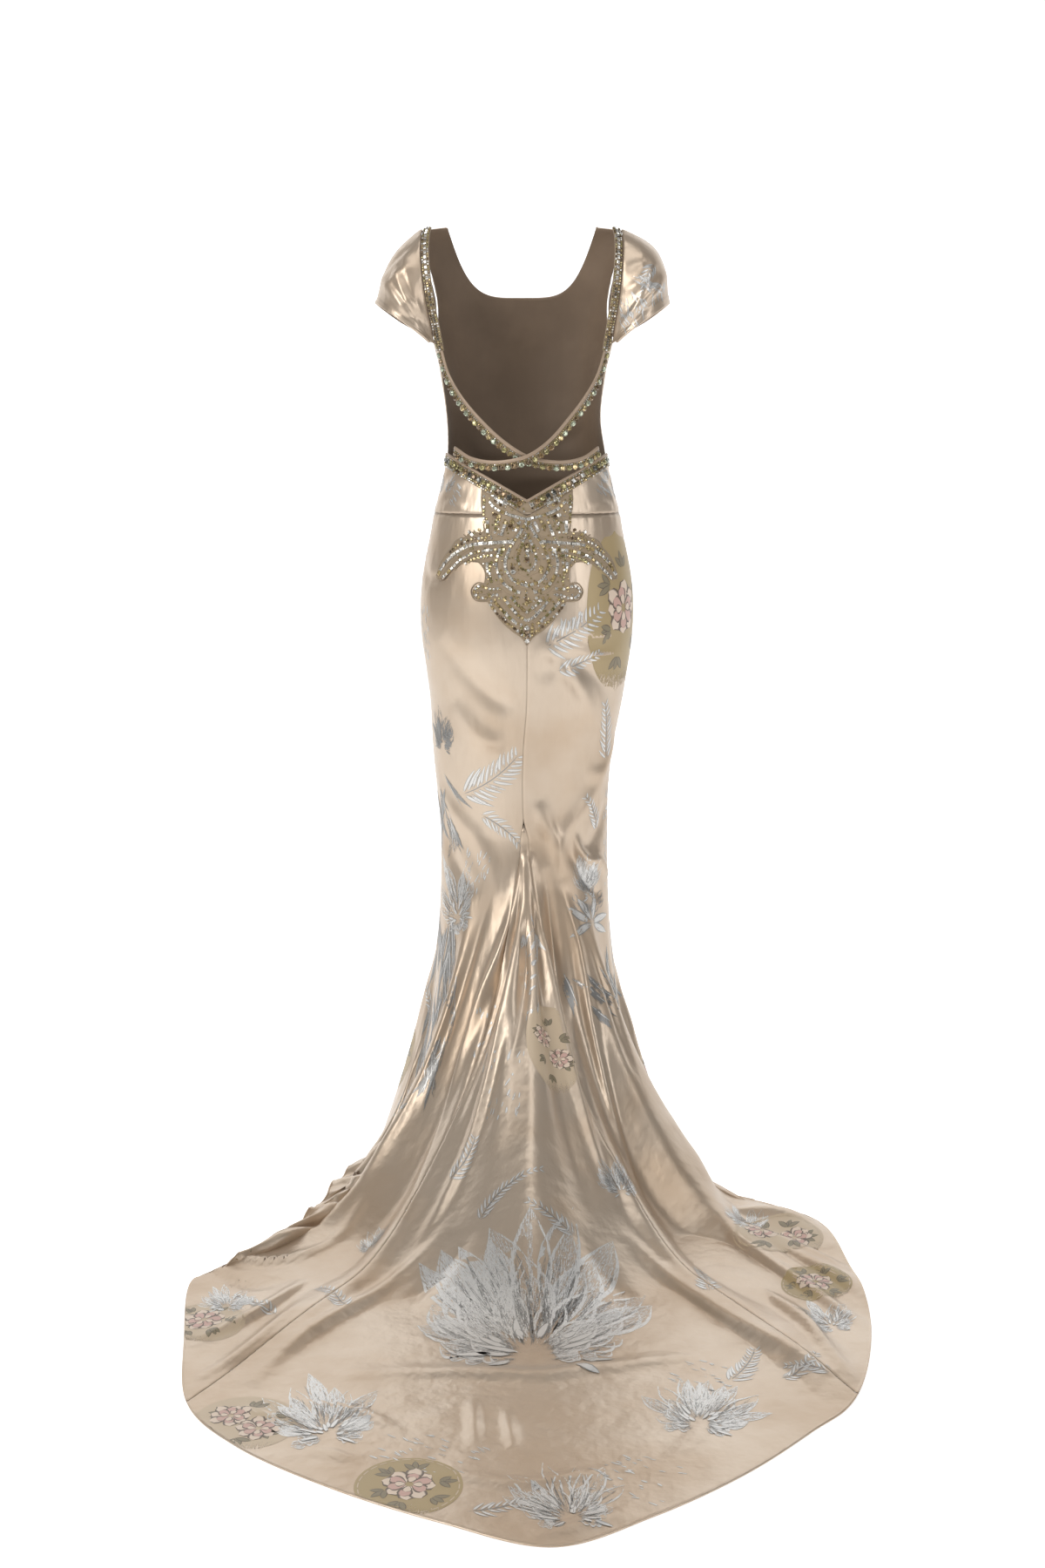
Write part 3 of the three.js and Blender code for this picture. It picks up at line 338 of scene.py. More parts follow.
# Creases of the skirt: rise and half width in mm, then label and drop of points along each.
CREASES = [
    (13, 9, [(-24, 0.05), (-38, 0.13), (-42, 0.2), (-45, 0.27), (-46, 0.36), (-42, 0.5)]),
    (-10, 9, [(-12, 0.05), (-26, 0.13), (-32, 0.2), (-35, 0.3), (-37, 0.42)]),
    (12, 9, [(0, 0.03), (-5, 0.12), (-14, 0.2), (-22, 0.3), (-27, 0.42), (-31, 0.56)]),
    (-9, 8, [(9, 0.05), (3, 0.13), (-3, 0.21), (-12, 0.32)]),
    (9, 7, [(17, 0.04), (15, 0.11), (11, 0.18), (5, 0.27)]),
    (-9, 8, [(25, 0.05), (27, 0.13), (23, 0.21), (18, 0.3)]),
    (13, 9, [(36, 0.03), (38, 0.1), (37, 0.17), (35, 0.26), (33, 0.38), (32, 0.52)]),
    (-13, 9, [(46, 0.06), (46, 0.14), (45, 0.23), (42, 0.33), (40, 0.46)]),
    (12, 9, [(52, 0.1), (54, 0.2), (52, 0.31), (49, 0.43), (45, 0.56)]),
    (-8, 9, [(60, 0.18), (61, 0.3), (58, 0.42)]),
    (9, 7, [(58, -0.01), (64, 0.035), (74, 0.036), (86, 0.07)]),
    (-7, 8, [(56, 0.03), (64, 0.075), (76, 0.085)]), (8, 12, [(46, -0.12), (50, 0.0), (54, 0.08)]),
    (-7, 10, [(-50, 0.1), (-53, 0.2), (-54, 0.32), (-53, 0.46)]),
    (8, 10, [(-62, 0.24), (-62, 0.36), (-60, 0.5), (-59, 0.64)]),
    (9, 13, [(-24, 0.5), (-32, 0.64), (-36, 0.78), (-36, 0.92)]),
    (-8, 13, [(-17, 0.5), (-26, 0.64), (-30, 0.78), (-30, 0.86)]),
    (-7, 16, [(15, 0.5), (20, 0.6), (25, 0.72), (29, 0.82)]),
    (9, 13, [(30, 0.54), (35, 0.64), (37, 0.78), (40, 0.96)]),
    (7, 15, [(-27, 0.82), (-15, 0.755), (0, 0.715), (15, 0.75), (28, 0.8)]),
    (-4, 11, [(-12, 0.8), (-10.5, 0.87)]), (5, 10, [(-9.4, 0.79), (-8, 0.87)]),
    (-5, 10, [(-7.4, 0.78), (-5.4, 0.86)]), (4, 10, [(-5.4, 0.79), (-3.6, 0.86)]),
    (5, 10, [(-12, 0.925), (-5, 0.915), (2, 0.9), (10, 0.92)]),
    (-4, 9, [(-9, 0.948), (0, 0.93), (8, 0.945)]), (4, 10, [(-3, 0.985), (3, 0.975), (9, 0.985)]),
    (4, 13, [(12, 0.94), (21, 0.9), (30, 0.88), (39, 0.88)]),
    (-4, 12, [(16, 0.96), (26, 0.92), (37, 0.92)]), (5, 8, [(-30, 0.9), (-22, 0.87), (-16, 0.88)]),
    (-4, 8, [(-27, 0.94), (-20, 0.9), (-14, 0.91)]), (4, 7, [(-24, 0.96), (-18, 0.94)]),
    (5, 8, [(-34, 0.95), (-28, 0.93), (-24, 0.935)]), (6, 11, [(42.5, 0.92), (47, 0.86), (52, 0.76)]),
    (11, 10, [(41, 0.99), (44, 0.9), (47, 0.8), (52, 0.68)]),
    (-8, 9, [(45, 0.99), (47, 0.9), (50, 0.8), (54, 0.7)]),
    (10, 10, [(49.5, 0.99), (51, 0.9), (54, 0.78), (57, 0.66)]),
    (-7, 9, [(54, 0.99), (56, 0.88), (58, 0.78)]), (8, 10, [(60, 0.99), (60, 0.88), (60, 0.76)]),
    (8, 12, [(68, 0.99), (66, 0.86), (63, 0.72)]),
    (8, 9, [(-59, 0.98), (-54, 0.86), (-52, 0.72), (-54, 0.6)]),
    (-6, 8, [(-56, 0.98), (-51, 0.86), (-50, 0.74)]), (8, 9, [(-48, 0.98), (-47, 0.86), (-48, 0.74)]),
    (-6, 8, [(-45, 0.98), (-44.5, 0.88), (-46, 0.76)]), (6, 9, [(-42, 0.98), (-41.5, 0.88), (-43, 0.76)]),
    (10, 8, [(-65, 1.02), (-63, 0.9), (-61, 0.8)]), (-8, 8, [(-69, 1.02), (-66, 0.9), (-64, 0.82)]),
    (11, 8, [(-73, 1.02), (-71, 0.9), (-68, 0.8)]), (-8, 8, [(-77, 1.02), (-75, 0.9)]),
    (12, 9, [(-81, 1.03), (-79, 0.9), (-76, 0.78)]), (-8, 9, [(-86, 1.03), (-83, 0.9)]),
    (11, 10, [(-90, 1.03), (-88, 0.88), (-84, 0.74)]),
    (-5, 16, [(-70, -0.62), (-58, -0.5), (-50, -0.44), (-43, -0.42)]),
    (5, 15, [(-66, -0.42), (-55, -0.32), (-46, -0.3)]),
    (-5, 15, [(43, -0.5), (52, -0.56), (62, -0.52), (76, -0.4)]),
    (5, 13, [(44, -0.62), (55, -0.5), (66, -0.36)]),
    (-4, 9, [(43, -0.66), (52, -0.63), (64, -0.6), (74, -0.62)]),
    (5, 13, [(80, -0.2), (66, -0.1), (54, 0.0), (47, 0.1)]), (-5, 13, [(84, -0.1), (72, 0.0), (60, 0.02)]),
    (5, 14, [(-82, -0.16), (-68, -0.06), (-56, 0.02), (-48, 0.1)]),
    (-5, 14, [(-78, 0.0), (-66, 0.06), (-56, 0.12)]), (-4, 10, [(-88, -0.86), (-78, -0.8), (-64, -0.82)]),
    (4, 12, [(88, -0.3), (76, -0.2), (64, -0.2)]), (4, 14, [(98, -0.56), (118, -0.5), (140, -0.52)]),
    (-4, 13, [(112, -0.44), (134, -0.4), (160, -0.44)]), (4, 14, [(262, -0.5), (240, -0.44), (216, -0.46)]),
    (-4, 13, [(250, -0.36), (226, -0.32), (200, -0.37)]),
    (5, 14, [(104, -0.14), (122, -0.02), (134, 0.14)]), (5, 14, [(256, -0.2), (236, -0.06), (226, 0.1)]),
    (9, 16, [(132, 0.16), (128, 0.4), (126, 0.66), (128, 0.96)]),
    (-8, 15, [(142, 0.2), (140, 0.5), (141, 0.9)]),
    (10, 17, [(158, 0.1), (155, 0.34), (154, 0.62), (156, 0.97)]),
    (-7, 15, [(168, 0.24), (169, 0.6), (168, 0.95)]),
    (9, 16, [(182, 0.14), (184, 0.42), (182, 0.7), (185, 0.98)]),
    (-8, 15, [(196, 0.2), (198, 0.52), (197, 0.9)]),
    (10, 17, [(210, 0.1), (213, 0.36), (214, 0.68), (211, 0.97)]),
    (-7, 15, [(225, 0.24), (228, 0.6), (226, 0.94)]), (8, 15, [(240, 0.3), (243, 0.6), (241, 0.97)]),
    (8, 15, [(112, 0.34), (108, 0.6), (110, 0.97)]),
]
# Creases of the other panels, in each panel's own two parameters.
SMALL_CREASES = {
    "yoke_back": [
        (2.6, 9, [(-80, 0.9), (-60, 0.5), (-44, 0.45)]), (-2.4, 8, [(-84, 0.55), (-66, 0.3), (-48, 0.25)]),
        (2.8, 8, [(78, 0.95), (64, 0.5), (50, 0.2)]), (-2.4, 8, [(86, 0.7), (72, 0.35), (56, 0.1)]),
        (2.2, 7, [(-40, 0.9), (-52, 0.8), (-66, 0.88)]), (2.2, 7, [(42, 0.85), (56, 0.82), (70, 0.9)]),
    ],
    "bodice_front": [
        (3.5, 14, [(-0.98, 0.34), (-0.8, 0.4), (-0.62, 0.38)]),
        (3.5, 14, [(0.98, 0.34), (0.8, 0.4), (0.62, 0.38)]),
        (-3, 13, [(-0.96, 0.46), (-0.78, 0.5), (-0.6, 0.46)]),
        (-3, 13, [(0.96, 0.46), (0.78, 0.5), (0.6, 0.46)]),
        (3, 12, [(-0.7, 0.72), (-0.35, 0.78), (0.05, 0.76)]),
        (-3, 12, [(-0.2, 0.86), (0.2, 0.84), (0.6, 0.88)]),
        (3, 12, [(0.72, 0.7), (0.42, 0.68), (0.2, 0.7)]),
        (-2.6, 11, [(-0.9, 0.62), (-0.6, 0.64), (-0.3, 0.6)]),
        (3, 13, [(-0.84, 0.1), (-0.7, 0.2), (-0.56, 0.26)]),
        (3, 13, [(0.84, 0.1), (0.7, 0.2), (0.56, 0.26)]),
    ],
    "sleeve_left": [
        (2.6, 7, [(0.1, 0.2), (0.2, 0.5), (0.26, 0.9)]), (-2.8, 6, [(0.08, 0.3), (0.14, 0.6), (0.18, 0.9)]),
        (3, 8, [(0.3, 0.08), (0.34, 0.4), (0.4, 0.8)]), (-2.4, 7, [(0.42, 0.1), (0.44, 0.4), (0.48, 0.7)]),
        (2.4, 8, [(0.7, 0.1), (0.68, 0.5), (0.66, 0.9)]),
        (-2.4, 8, [(0.82, 0.15), (0.8, 0.5), (0.78, 0.8)]),
    ],
    "sleeve_right": [
        (3.4, 6, [(0.06, 0.25), (0.14, 0.55), (0.3, 0.72), (0.42, 0.7)]),
        (-3.2, 6, [(0.05, 0.5), (0.12, 0.72), (0.24, 0.82), (0.36, 0.82)]),
        (3, 7, [(0.2, 0.06), (0.24, 0.35), (0.3, 0.55)]), (-3, 7, [(0.3, 0.06), (0.34, 0.3), (0.4, 0.5)]),
        (2.6, 8, [(0.72, 0.1), (0.7, 0.5), (0.7, 0.85)]),
        (-2.4, 8, [(0.84, 0.15), (0.82, 0.5), (0.8, 0.8)]),
    ],
}


def flat_path(points, samples=60):
    """A smooth path through points of two parameters."""
    keyed = [(k, *point) for k, point in enumerate(points)]
    return read(keyed, np.linspace(0, len(points) - 1, samples))


def crease_rise(points, curves, surface):
    """Each crease rises by exp(-(distance to its curve / width)^2) and fades out at both ends."""
    flat = points.reshape(-1, 3)
    total = np.zeros(len(flat))
    for rise, width, stations in curves:
        path = flat_path(stations, 10 * len(stations))
        knots = surface(path[..., 0], path[..., 1])
        near = np.flatnonzero(((flat > knots.min(0) - 3 * width) & (flat < knots.max(0) + 3 * width)).all(1))
        if not near.size:
            continue
        start, run = knots[:-1], np.diff(knots, axis=0)
        away = flat[near, None] - start[None]
        t = np.clip((away * run).sum(-1) / np.maximum((run**2).sum(-1), 1e-6), 0, 1)
        gap = ((away - t[..., None] * run)**2).sum(-1)
        best = gap.argmin(1)
        rows = np.arange(len(near))
        along = (best + t[rows, best]) / len(run)
        total[near] += rise * np.exp(-gap[rows, best] / width**2) * np.sin(np.pi * along)**0.8
    return total.reshape(points.shape[:-1])


def lengths(points, axis):
    """Running length along one axis of a grid, in mm."""
    step = np.linalg.norm(np.diff(points, axis=axis), axis=-1)
    pad = [(0, 0), (0, 0)]
    pad[axis] = (1, 0)
    return np.cumsum(np.pad(step, pad), axis=axis)


def grid_normals(points):
    """Slope down the rows crossed with slope along the columns."""
    return unit(np.cross(np.gradient(points, axis=0), np.gradient(points, axis=1)))


def cut_shares(columns):
    """Even shares across a panel, with two more columns close to each edge for the turn of the seam."""
    step = 1 / columns
    inner = np.linspace(step, 1 - step, columns - 1)
    return np.concatenate([[0, 0.22 * step, 0.55 * step], inner, [1 - 0.55 * step, 1 - 0.22 * step, 1]])


# Rows of the panels, closer together beside a seam or a hem.
BODY_STOPS = np.linspace(-1, 0, 76)[:-1]
FRONT_SEAM = [-1, -0.9985, -0.996]
SLEEVE_STOPS = np.linspace(0, 1, 46)
FLARE_STOPS = np.concatenate([np.linspace(0, 0.992, 142), [0.9945, 0.996, 0.9973, 0.9986, 1]])
GUSSET_STOPS = np.concatenate([[GUSSET_TOP, -0.02], FLARE_STOPS])
# Panels: surface, left and right edge, columns, stops, seam sides, whether the foot is a hem.
PANELS = {
    "back_left": (skirt_point, -90, -40, 112, (BODY_STOPS, FLARE_STOPS), "left right top", True),
    "back_right": (skirt_point, 40, 90, 112, (BODY_STOPS, FLARE_STOPS), "left right top", True),
    "skirt_front": (skirt_point, 90, 270, 128, (FRONT_SEAM, BODY_STOPS[2::2], FLARE_STOPS[::2]),
                    "left right top", True),
    "train_gusset": (skirt_point, -40, 40, 186, (GUSSET_STOPS,), "left right top", True),
    "yoke_back": (yoke_point, -90, 90, 110, (np.linspace(0, 1, 22),), "left right foot", False),
    "bodice_front": (bodice_point, 1, -1, 120, (np.linspace(0.004, 0.99, 88), [0.9945, 0.998, 1]),
                     "left right foot", False),
    "sleeve_left": (functools.partial(sleeve_point, -1), 0.985, 0.02, 84, (SLEEVE_STOPS,), "top", True),
    "sleeve_right": (functools.partial(sleeve_point, 1), 0.02, 0.985, 84, (SLEEVE_STOPS,), "top", True),
}
SKIRT = ("back_left", "back_right", "skirt_front", "train_gusset")
TURN_UP = {"sleeve_left": 9.0, "sleeve_right": 15.0}  # depth of the sleeves' turned hems, mm


@functools.lru_cache(maxsize=None)
def cut(name):
    """The outer and inner face of a panel, its seam turns, puckers, creases and rolled hem included.

    With a the distance to an edge in mm, the cloth puckers beside a seam by 0.35 exp(-(a/9)^2)
    sin(length / 2.6) mm, and thins at it to 1 - 0.85 exp(-(a/2.2)^2) of its thickness. A hem rolls up by
    0.9 exp(-((a - 2) / 1.7)^2) mm, with a groove of 0.25 exp(-((a - 5) / 0.9)^2) mm behind the roll.
    """
    surface, left, right, columns, stops, seams, hemmed = PANELS[name]
    shares, stops = cut_shares(columns), np.concatenate(stops)
    u, v = np.meshgrid(left + (right - left) * shares, stops)
    step = (0.4, 0.003) if name in SKIRT else (0.4, 0.01) if name == "yoke_back" else (0.004, 0.006)
    if left > right:
        step = (-step[0], step[1])
    plain = surface(u, v)
    normal = outward(surface, u, v, *step)
    across, down = lengths(plain, 1), lengths(plain, 0)
    edges = {"left": across, "right": across[:, -1:] - across, "top": down, "foot": down[-1:] - down}
    rise = crease_rise(plain, CREASES if name in SKIRT else SMALL_CREASES[name], surface)
    edge_fade, seam = 1, 0 * rise
    for side in seams.split():
        away = edges[side]
        run = down if side in ("left", "right") else across
        phase = np.sin(run / 41) * 2.2 + len(side)
        rise = rise + 0.35 * bell(away, 0, 9) * np.sin(run / 2.6 + phase)
        edge_fade = edge_fade * (1 - 0.85 * bell(away, 0, 2.2))
        # seam: a band about 1.1 mm wide at each sewn edge, where the satin is painted darker as painted shade
        # of the seam's groove
        seam = np.maximum(seam, bell(away, 0, 1.1))
    base = plain + normal * rise[..., None]
    if name in SKIRT:
        base[..., 2] = np.maximum(base[..., 2], 0.15)
    thick = bpy.context.scene.gown_sizes.cloth * 1000 * np.maximum(edge_fade, 0.15)
    if hemmed:
        away = edges["foot"]
        thick = thick + 0.9 * bell(away, 2, 1.7) - 0.25 * bell(away, 5, 0.9)
    if name in TURN_UP:
        wide = TURN_UP[name]
        thick = thick + 0.9 * (1 - smooth(wide - 2, wide, away)) - 0.7 * bell(away, wide - 3, 1.1)
        # and a line of painted shade under the edge of the turned hem
        seam = np.maximum(seam, 0.7 * bell(away, wide - 0.5, 1.2))
    face = grid_normals(base)
    if (face * normal).sum(-1).mean() < 0:
        face = -face
    outer = base + face * thick[..., None]
    if name in SKIRT:
        outer[..., 2] = np.maximum(outer[..., 2], base[..., 2] + 0.2)
    cloth = np.stack([across - across[:, columns // 2:columns // 2 + 1], down], -1)
    return {"outer": outer, "inner": base, "normal": face, "cloth": cloth, "seam": seam, "shares": shares,
            "stops": stops, "left": left, "right": right}


def on_panel(name, label, drop, lift):
    """Points on a panel's outer face, between its rows and columns, moved out by lift mm."""
    grid = cut(name)
    share = np.clip((label - grid["left"]) / (grid["right"] - grid["left"]), 0, 1)
    i = np.interp(share, grid["shares"], np.arange(len(grid["shares"])))
    j = np.interp(drop, grid["stops"], np.arange(len(grid["stops"])))
    i0 = np.clip(i.astype(int), 0, len(grid["shares"]) - 2)
    j0 = np.clip(j.astype(int), 0, len(grid["stops"]) - 2)
    s, t = (i - i0)[..., None], (j - j0)[..., None]
    both = grid["outer"], grid["normal"]
    at, out = (f[j0, i0] * (1 - s) * (1 - t) + f[j0, i0 + 1] * s * (1 - t)
               + f[j0 + 1, i0] * (1 - s) * t + f[j0 + 1, i0 + 1] * s * t for f in both)
    return at + unit(out) * np.asarray(lift)[..., None]


# Meshes

def build(name, points, faces, materials, uvs=None, tints=None, index=None, facets=None):
    """Mesh object from points in mm above the floor and an array of faces of three or four corners.

    facets holds one tint for each face; faces that have tints of their own are shaded flat.
    """
    points = np.asarray(points, float).reshape(-1, 3) / 1000 - [0, 0, SHOULDER / 1000]
    faces = np.asarray(faces, np.int32)
    mesh = bpy.data.meshes.new(name)
    mesh.vertices.add(len(points))
    mesh.vertices.foreach_set("co", points.astype(np.float32).ravel())
    mesh.loops.add(faces.size)
    mesh.loops.foreach_set("vertex_index", faces.ravel())
    mesh.polygons.add(len(faces))
    mesh.polygons.foreach_set("loop_start", np.arange(0, faces.size, faces.shape[1], dtype=np.int32))
    for material in materials:
        mesh.materials.append(material)
    if index is not None:
        mesh.polygons.foreach_set("material_index", np.asarray(index, np.int32))
    mesh.update(calc_edges=True)
    mesh.polygons.foreach_set("use_smooth", np.full(len(faces), facets is None))
    if facets is not None:
        corners = np.repeat(facets.astype(np.float32), faces.shape[1], 0)
        mesh.attributes.new("tint", "FLOAT_COLOR", "CORNER").data.foreach_set("color", corners.ravel())
    for key, uv in (uvs or {}).items():
        mesh.uv_layers.new(name=key).data.foreach_set("uv", np.asarray(uv, np.float32)[faces.ravel()].ravel())
    for key, tint in (tints or {}).items():
        field = mesh.attributes.new(key, "FLOAT_COLOR", "POINT")
        field.data.foreach_set("color", tint.astype(np.float32).ravel())
    mesh.update()
    piece = bpy.data.objects.new(name, mesh)
    bpy.context.scene.collection.objects.link(piece)
    return piece


def grid_faces(rows, columns, start=0):
    """Corner numbers of the squares of a grid, wound so that down crossed with across points out."""
    a = start + np.arange(rows - 1)[:, None] * columns + np.arange(columns - 1)
    return np.stack([a, a + columns, a + columns + 1, a + 1], -1).reshape(-1, 4)


def shell(name, outer, inner, cloth, seam, materials):
    """A closed wall: outer face, inner face turned round, and a rim that joins their edges."""
    rows, columns = outer.shape[:2]
    count = rows * columns
    top, under = grid_faces(rows, columns), grid_faces(rows, columns, count)[:, ::-1]
    ring = np.concatenate([np.arange(columns), np.arange(1, rows) * columns + columns - 1,
                           count - 2 - np.arange(columns - 1), np.arange(rows - 2, 0, -1) * columns])
    turn = np.roll(ring, -1)
    rim = np.stack([ring, turn, turn + count, ring + count], -1)
    faces = np.concatenate([top, under, rim])
    index = np.concatenate([np.zeros(len(top)), np.ones(len(under)), np.zeros(len(rim))])
    uv = np.concatenate([cloth.reshape(-1, 2), cloth.reshape(-1, 2)]) / 1000
    # seam, for each corner: where the satin gets painted shade along its seams
    line = np.repeat(np.tile(seam.ravel(), 2)[:, None], 4, 1)
    return build(name, np.concatenate([outer.reshape(-1, 3), inner.reshape(-1, 3)]), faces, materials,
                 {"cloth": uv}, {"seam": line}, index=index)


def panel(name):
    """One panel as a closed shell of satin that stands for its solid."""
    grid = cut(name)
    # the inner faces take the reverse finish, painted dark as shade inside the gown
    piece = shell(name + "_cloth", grid["outer"], grid["inner"], grid["cloth"], grid["seam"],
                  [finish("satin"), finish("reverse")])
    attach(piece, "root")
    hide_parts(name)
    return piece


def sew_panel(name, batches):
    """A panel with its woven figures.
    """
    piece = panel(name)
    figures = weave_figures(name, batches)
    outer = cut(name)["outer"]


# Materials

def link(tree, start, end):
    """Links a socket to an input, or gives the input a plain value."""
    if isinstance(start, bpy.types.NodeSocket):
        tree.links.new(start, end)
    else:
        end.default_value = start


def node(tree, kind, **values):
    """A shader node with its settings and input values; a value that is a socket is linked."""
    made = tree.nodes.new("ShaderNode" + kind)
    for key, value in values.items():
        if hasattr(made, key) and key not in made.inputs:
            setattr(made, key, value)
    for key, value in values.items():
        if key in made.inputs:
            link(tree, value, made.inputs[key])
    return made


def effect(name, inputs, outputs, fill):
    """A shader node group with named sockets, made once and filled in by fill(tree, ins, outs)."""
    group = bpy.data.node_groups.get(name)
    if group:
        return group
    group = bpy.data.node_groups.new(name, "ShaderNodeTree")
    for label, kind, value in inputs:
        socket = group.interface.new_socket(name=label, in_out="INPUT", socket_type=kind)
        if value is not None:
            socket.default_value = value
    for label, kind in outputs:
        group.interface.new_socket(name=label, in_out="OUTPUT", socket_type=kind)
    fill(group, group.nodes.new("NodeGroupInput").outputs, group.nodes.new("NodeGroupOutput").inputs)
    return group


def maths(tree, operation, a, b=0.0):
    """Output of a Math node on two numbers or sockets."""
    made = node(tree, "Math", operation=operation)
    for socket, value in zip(made.inputs, (a, b)):
        link(tree, value, socket)
    return made.outputs[0]


def times(tree, a, b):
    """Product of two numbers or sockets."""
    return maths(tree, "MULTIPLY", a, b)


def ramp(tree, value, low, high, out_low=0.0, out_high=1.0):
    """value from low to high becomes out_low to out_high on a smooth step."""
    ends = {"From Min": low, "From Max": high, "To Min": out_low, "To Max": out_high}
    made = node(tree, "MapRange", interpolation_type="SMOOTHSTEP", Value=value, **ends)
    return made.outputs["Result"]


def blend(tree, share, a, b, mode="MIX"):
    """Mix of two colours by a share."""
    made = tree.nodes.new("ShaderNodeMix")
    made.data_type, made.blend_type = "RGBA", mode
    for socket, value in ((made.inputs[0], share), (made.inputs[6], a), (made.inputs[7], b)):
        link(tree, value, socket)
    return made.outputs[2]


def noise(tree, vector, scale, detail=3.0, rough=0.5):
    """Noise from 0 to 1, at a scale per metre."""
    made = node(tree, "TexNoise", Scale=scale, Detail=detail, Roughness=rough, Vector=vector)
    return made.outputs["Fac"]


def stretch(tree, vector, size, turn=0.0):
    """A vector scaled along its axes and turned about the third."""
    return node(tree, "Mapping", Scale=size, Rotation=(0, 0, turn), Vector=vector).outputs["Vector"]


def fill_satin_weave(tree, ins, outs):
    """Long floats 0.35 mm apart, broken unevenly, over slack that shows as soft shallow ripples."""
    floats = noise(tree, stretch(tree, ins["Cloth"], (2800, 90, 1)), 1.0, 1.0)
    binding = noise(tree, stretch(tree, ins["Cloth"], (900, 1600, 1), 0.5), 1.0, 1.0)
    link(tree, maths(tree, "ADD", times(tree, floats, 0.7), times(tree, binding, 0.3)), outs["Threads"])
    slack = noise(tree, stretch(tree, ins["Place"], (17, 17, 5)), 1.0, 3.0, 0.45)
    fine = noise(tree, stretch(tree, ins["Place"], (60, 60, 14)), 1.0, 2.0)
    link(tree, maths(tree, "ADD", times(tree, slack, 0.8), times(tree, fine, 0.2)), outs["Slack"])


def fill_handling(tree, ins, outs):
    """Colour and gloss that drift over hand-sized patches, with faint darker marks."""
    patch = noise(tree, ins["Place"], 5.5, 4.0, 0.55)
    marks = ramp(tree, noise(tree, ins["Place"], 38.0, 4.0, 0.6), 0.62, 0.8)
    shade = blend(tree, ramp(tree, patch, 0.35, 0.7), ins["Colour"], ins["Deeper"])
    link(tree, blend(tree, times(tree, marks, ins["Marks"]), shade, ins["Deeper"]), outs["Colour"])
    link(tree, ramp(tree, patch, 0.3, 0.7, 0.9, 1.1), outs["Gloss"])


def fill_brushed(tree, ins, outs):
    """Where a woven stroke shows: its cover against streaks that run along it, thinner at its foot."""
    streak = noise(tree, stretch(tree, ins["Brush"], (70, 900, 1)), 1.0, 3.0, 0.6)
    broken = noise(tree, stretch(tree, ins["Brush"], (260, 320, 1), 0.4), 1.0, 2.0)
    pattern = maths(tree, "ADD", times(tree, streak, 0.75), times(tree, broken, 0.25))
    part = node(tree, "SeparateXYZ", Vector=ins["Stroke"])
    rooted = ramp(tree, part.outputs[0], -0.05, 0.35, 0.35, 1.0)
    level = times(tree, ins["Cover"], rooted)
    gap = maths(tree, "SUBTRACT", maths(tree, "ADD", times(tree, level, 0.62), 0.2), pattern)
    link(tree, ramp(tree, gap, -0.02, 0.03), outs["Shows"])


VEC, VALUE, COLOUR = "NodeSocketVector", "NodeSocketFloat", "NodeSocketColor"


def effects():
    """The three shared effects of this gown's cloth."""
    return {
        "weave": effect("satin_weave", [("Cloth", VEC, None), ("Place", VEC, None)],
                        [("Threads", VALUE), ("Slack", VALUE)], fill_satin_weave),
        "handling": effect("cloth_handling",
                           [("Place", VEC, None), ("Colour", COLOUR, (1, 1, 1, 1)),
                            ("Deeper", COLOUR, (0.5, 0.5, 0.5, 1)), ("Marks", VALUE, 0.3)],
                           [("Colour", COLOUR), ("Gloss", VALUE)], fill_handling),
        "brushed": effect("brushed_threads",
                          [("Stroke", VEC, None), ("Brush", VEC, None), ("Cover", VALUE, 1.0)],
                          [("Shows", VALUE)], fill_brushed),
    }


def new_material(name, **shader):
    """A material with one Principled shader; plain numbers go on the shader's own sockets."""
    material = bpy.data.materials.new(name)
    material.use_nodes = True
    tree = material.node_tree
    main = tree.nodes["Principled BSDF"]
    for key, value in shader.items():
        main.inputs[key.replace("_", " ")].default_value = value
    return material, tree, main


def cloth_material(name, colour, deeper, roughness, threads, slack, **shader):
    """Woven cloth: handled colour, painted shade along the seams, and a bump of threads and slack."""
    material, tree, main = new_material(name, **shader)
    place = node(tree, "TexCoord").outputs["Object"]
    cloth = node(tree, "UVMap", uv_map="cloth").outputs["UV"]
    group = node(tree, "Group", node_tree=effects()["handling"], Place=place, Colour=(*colour, 1),
                 Deeper=(*deeper, 1), Marks=0.25)
    # the seam attribute darkens the satin towards 0.45 of its deeper colour: painted shade in the groove of
    # each seam and under the turned hem's edge
    line = node(tree, "Attribute", attribute_name="seam")
    seam_shade = times(tree, line.outputs["Fac"], 0.5)
    shade = blend(tree, seam_shade, group.outputs["Colour"], (*[0.45 * c for c in deeper], 1))
    link(tree, shade, main.inputs["Base Color"])
    link(tree, times(tree, group.outputs["Gloss"], roughness), main.inputs["Roughness"])
    weave = node(tree, "Group", node_tree=effects()["weave"], Cloth=cloth, Place=place)
    soft = node(tree, "Bump", Strength=1.0, Distance=slack, Height=weave.outputs["Slack"])
    fine = node(tree, "Bump", Strength=1.0, Distance=threads, Height=weave.outputs["Threads"],
                Normal=soft.outputs["Normal"])
    link(tree, fine.outputs["Normal"], main.inputs["Normal"])
    return material


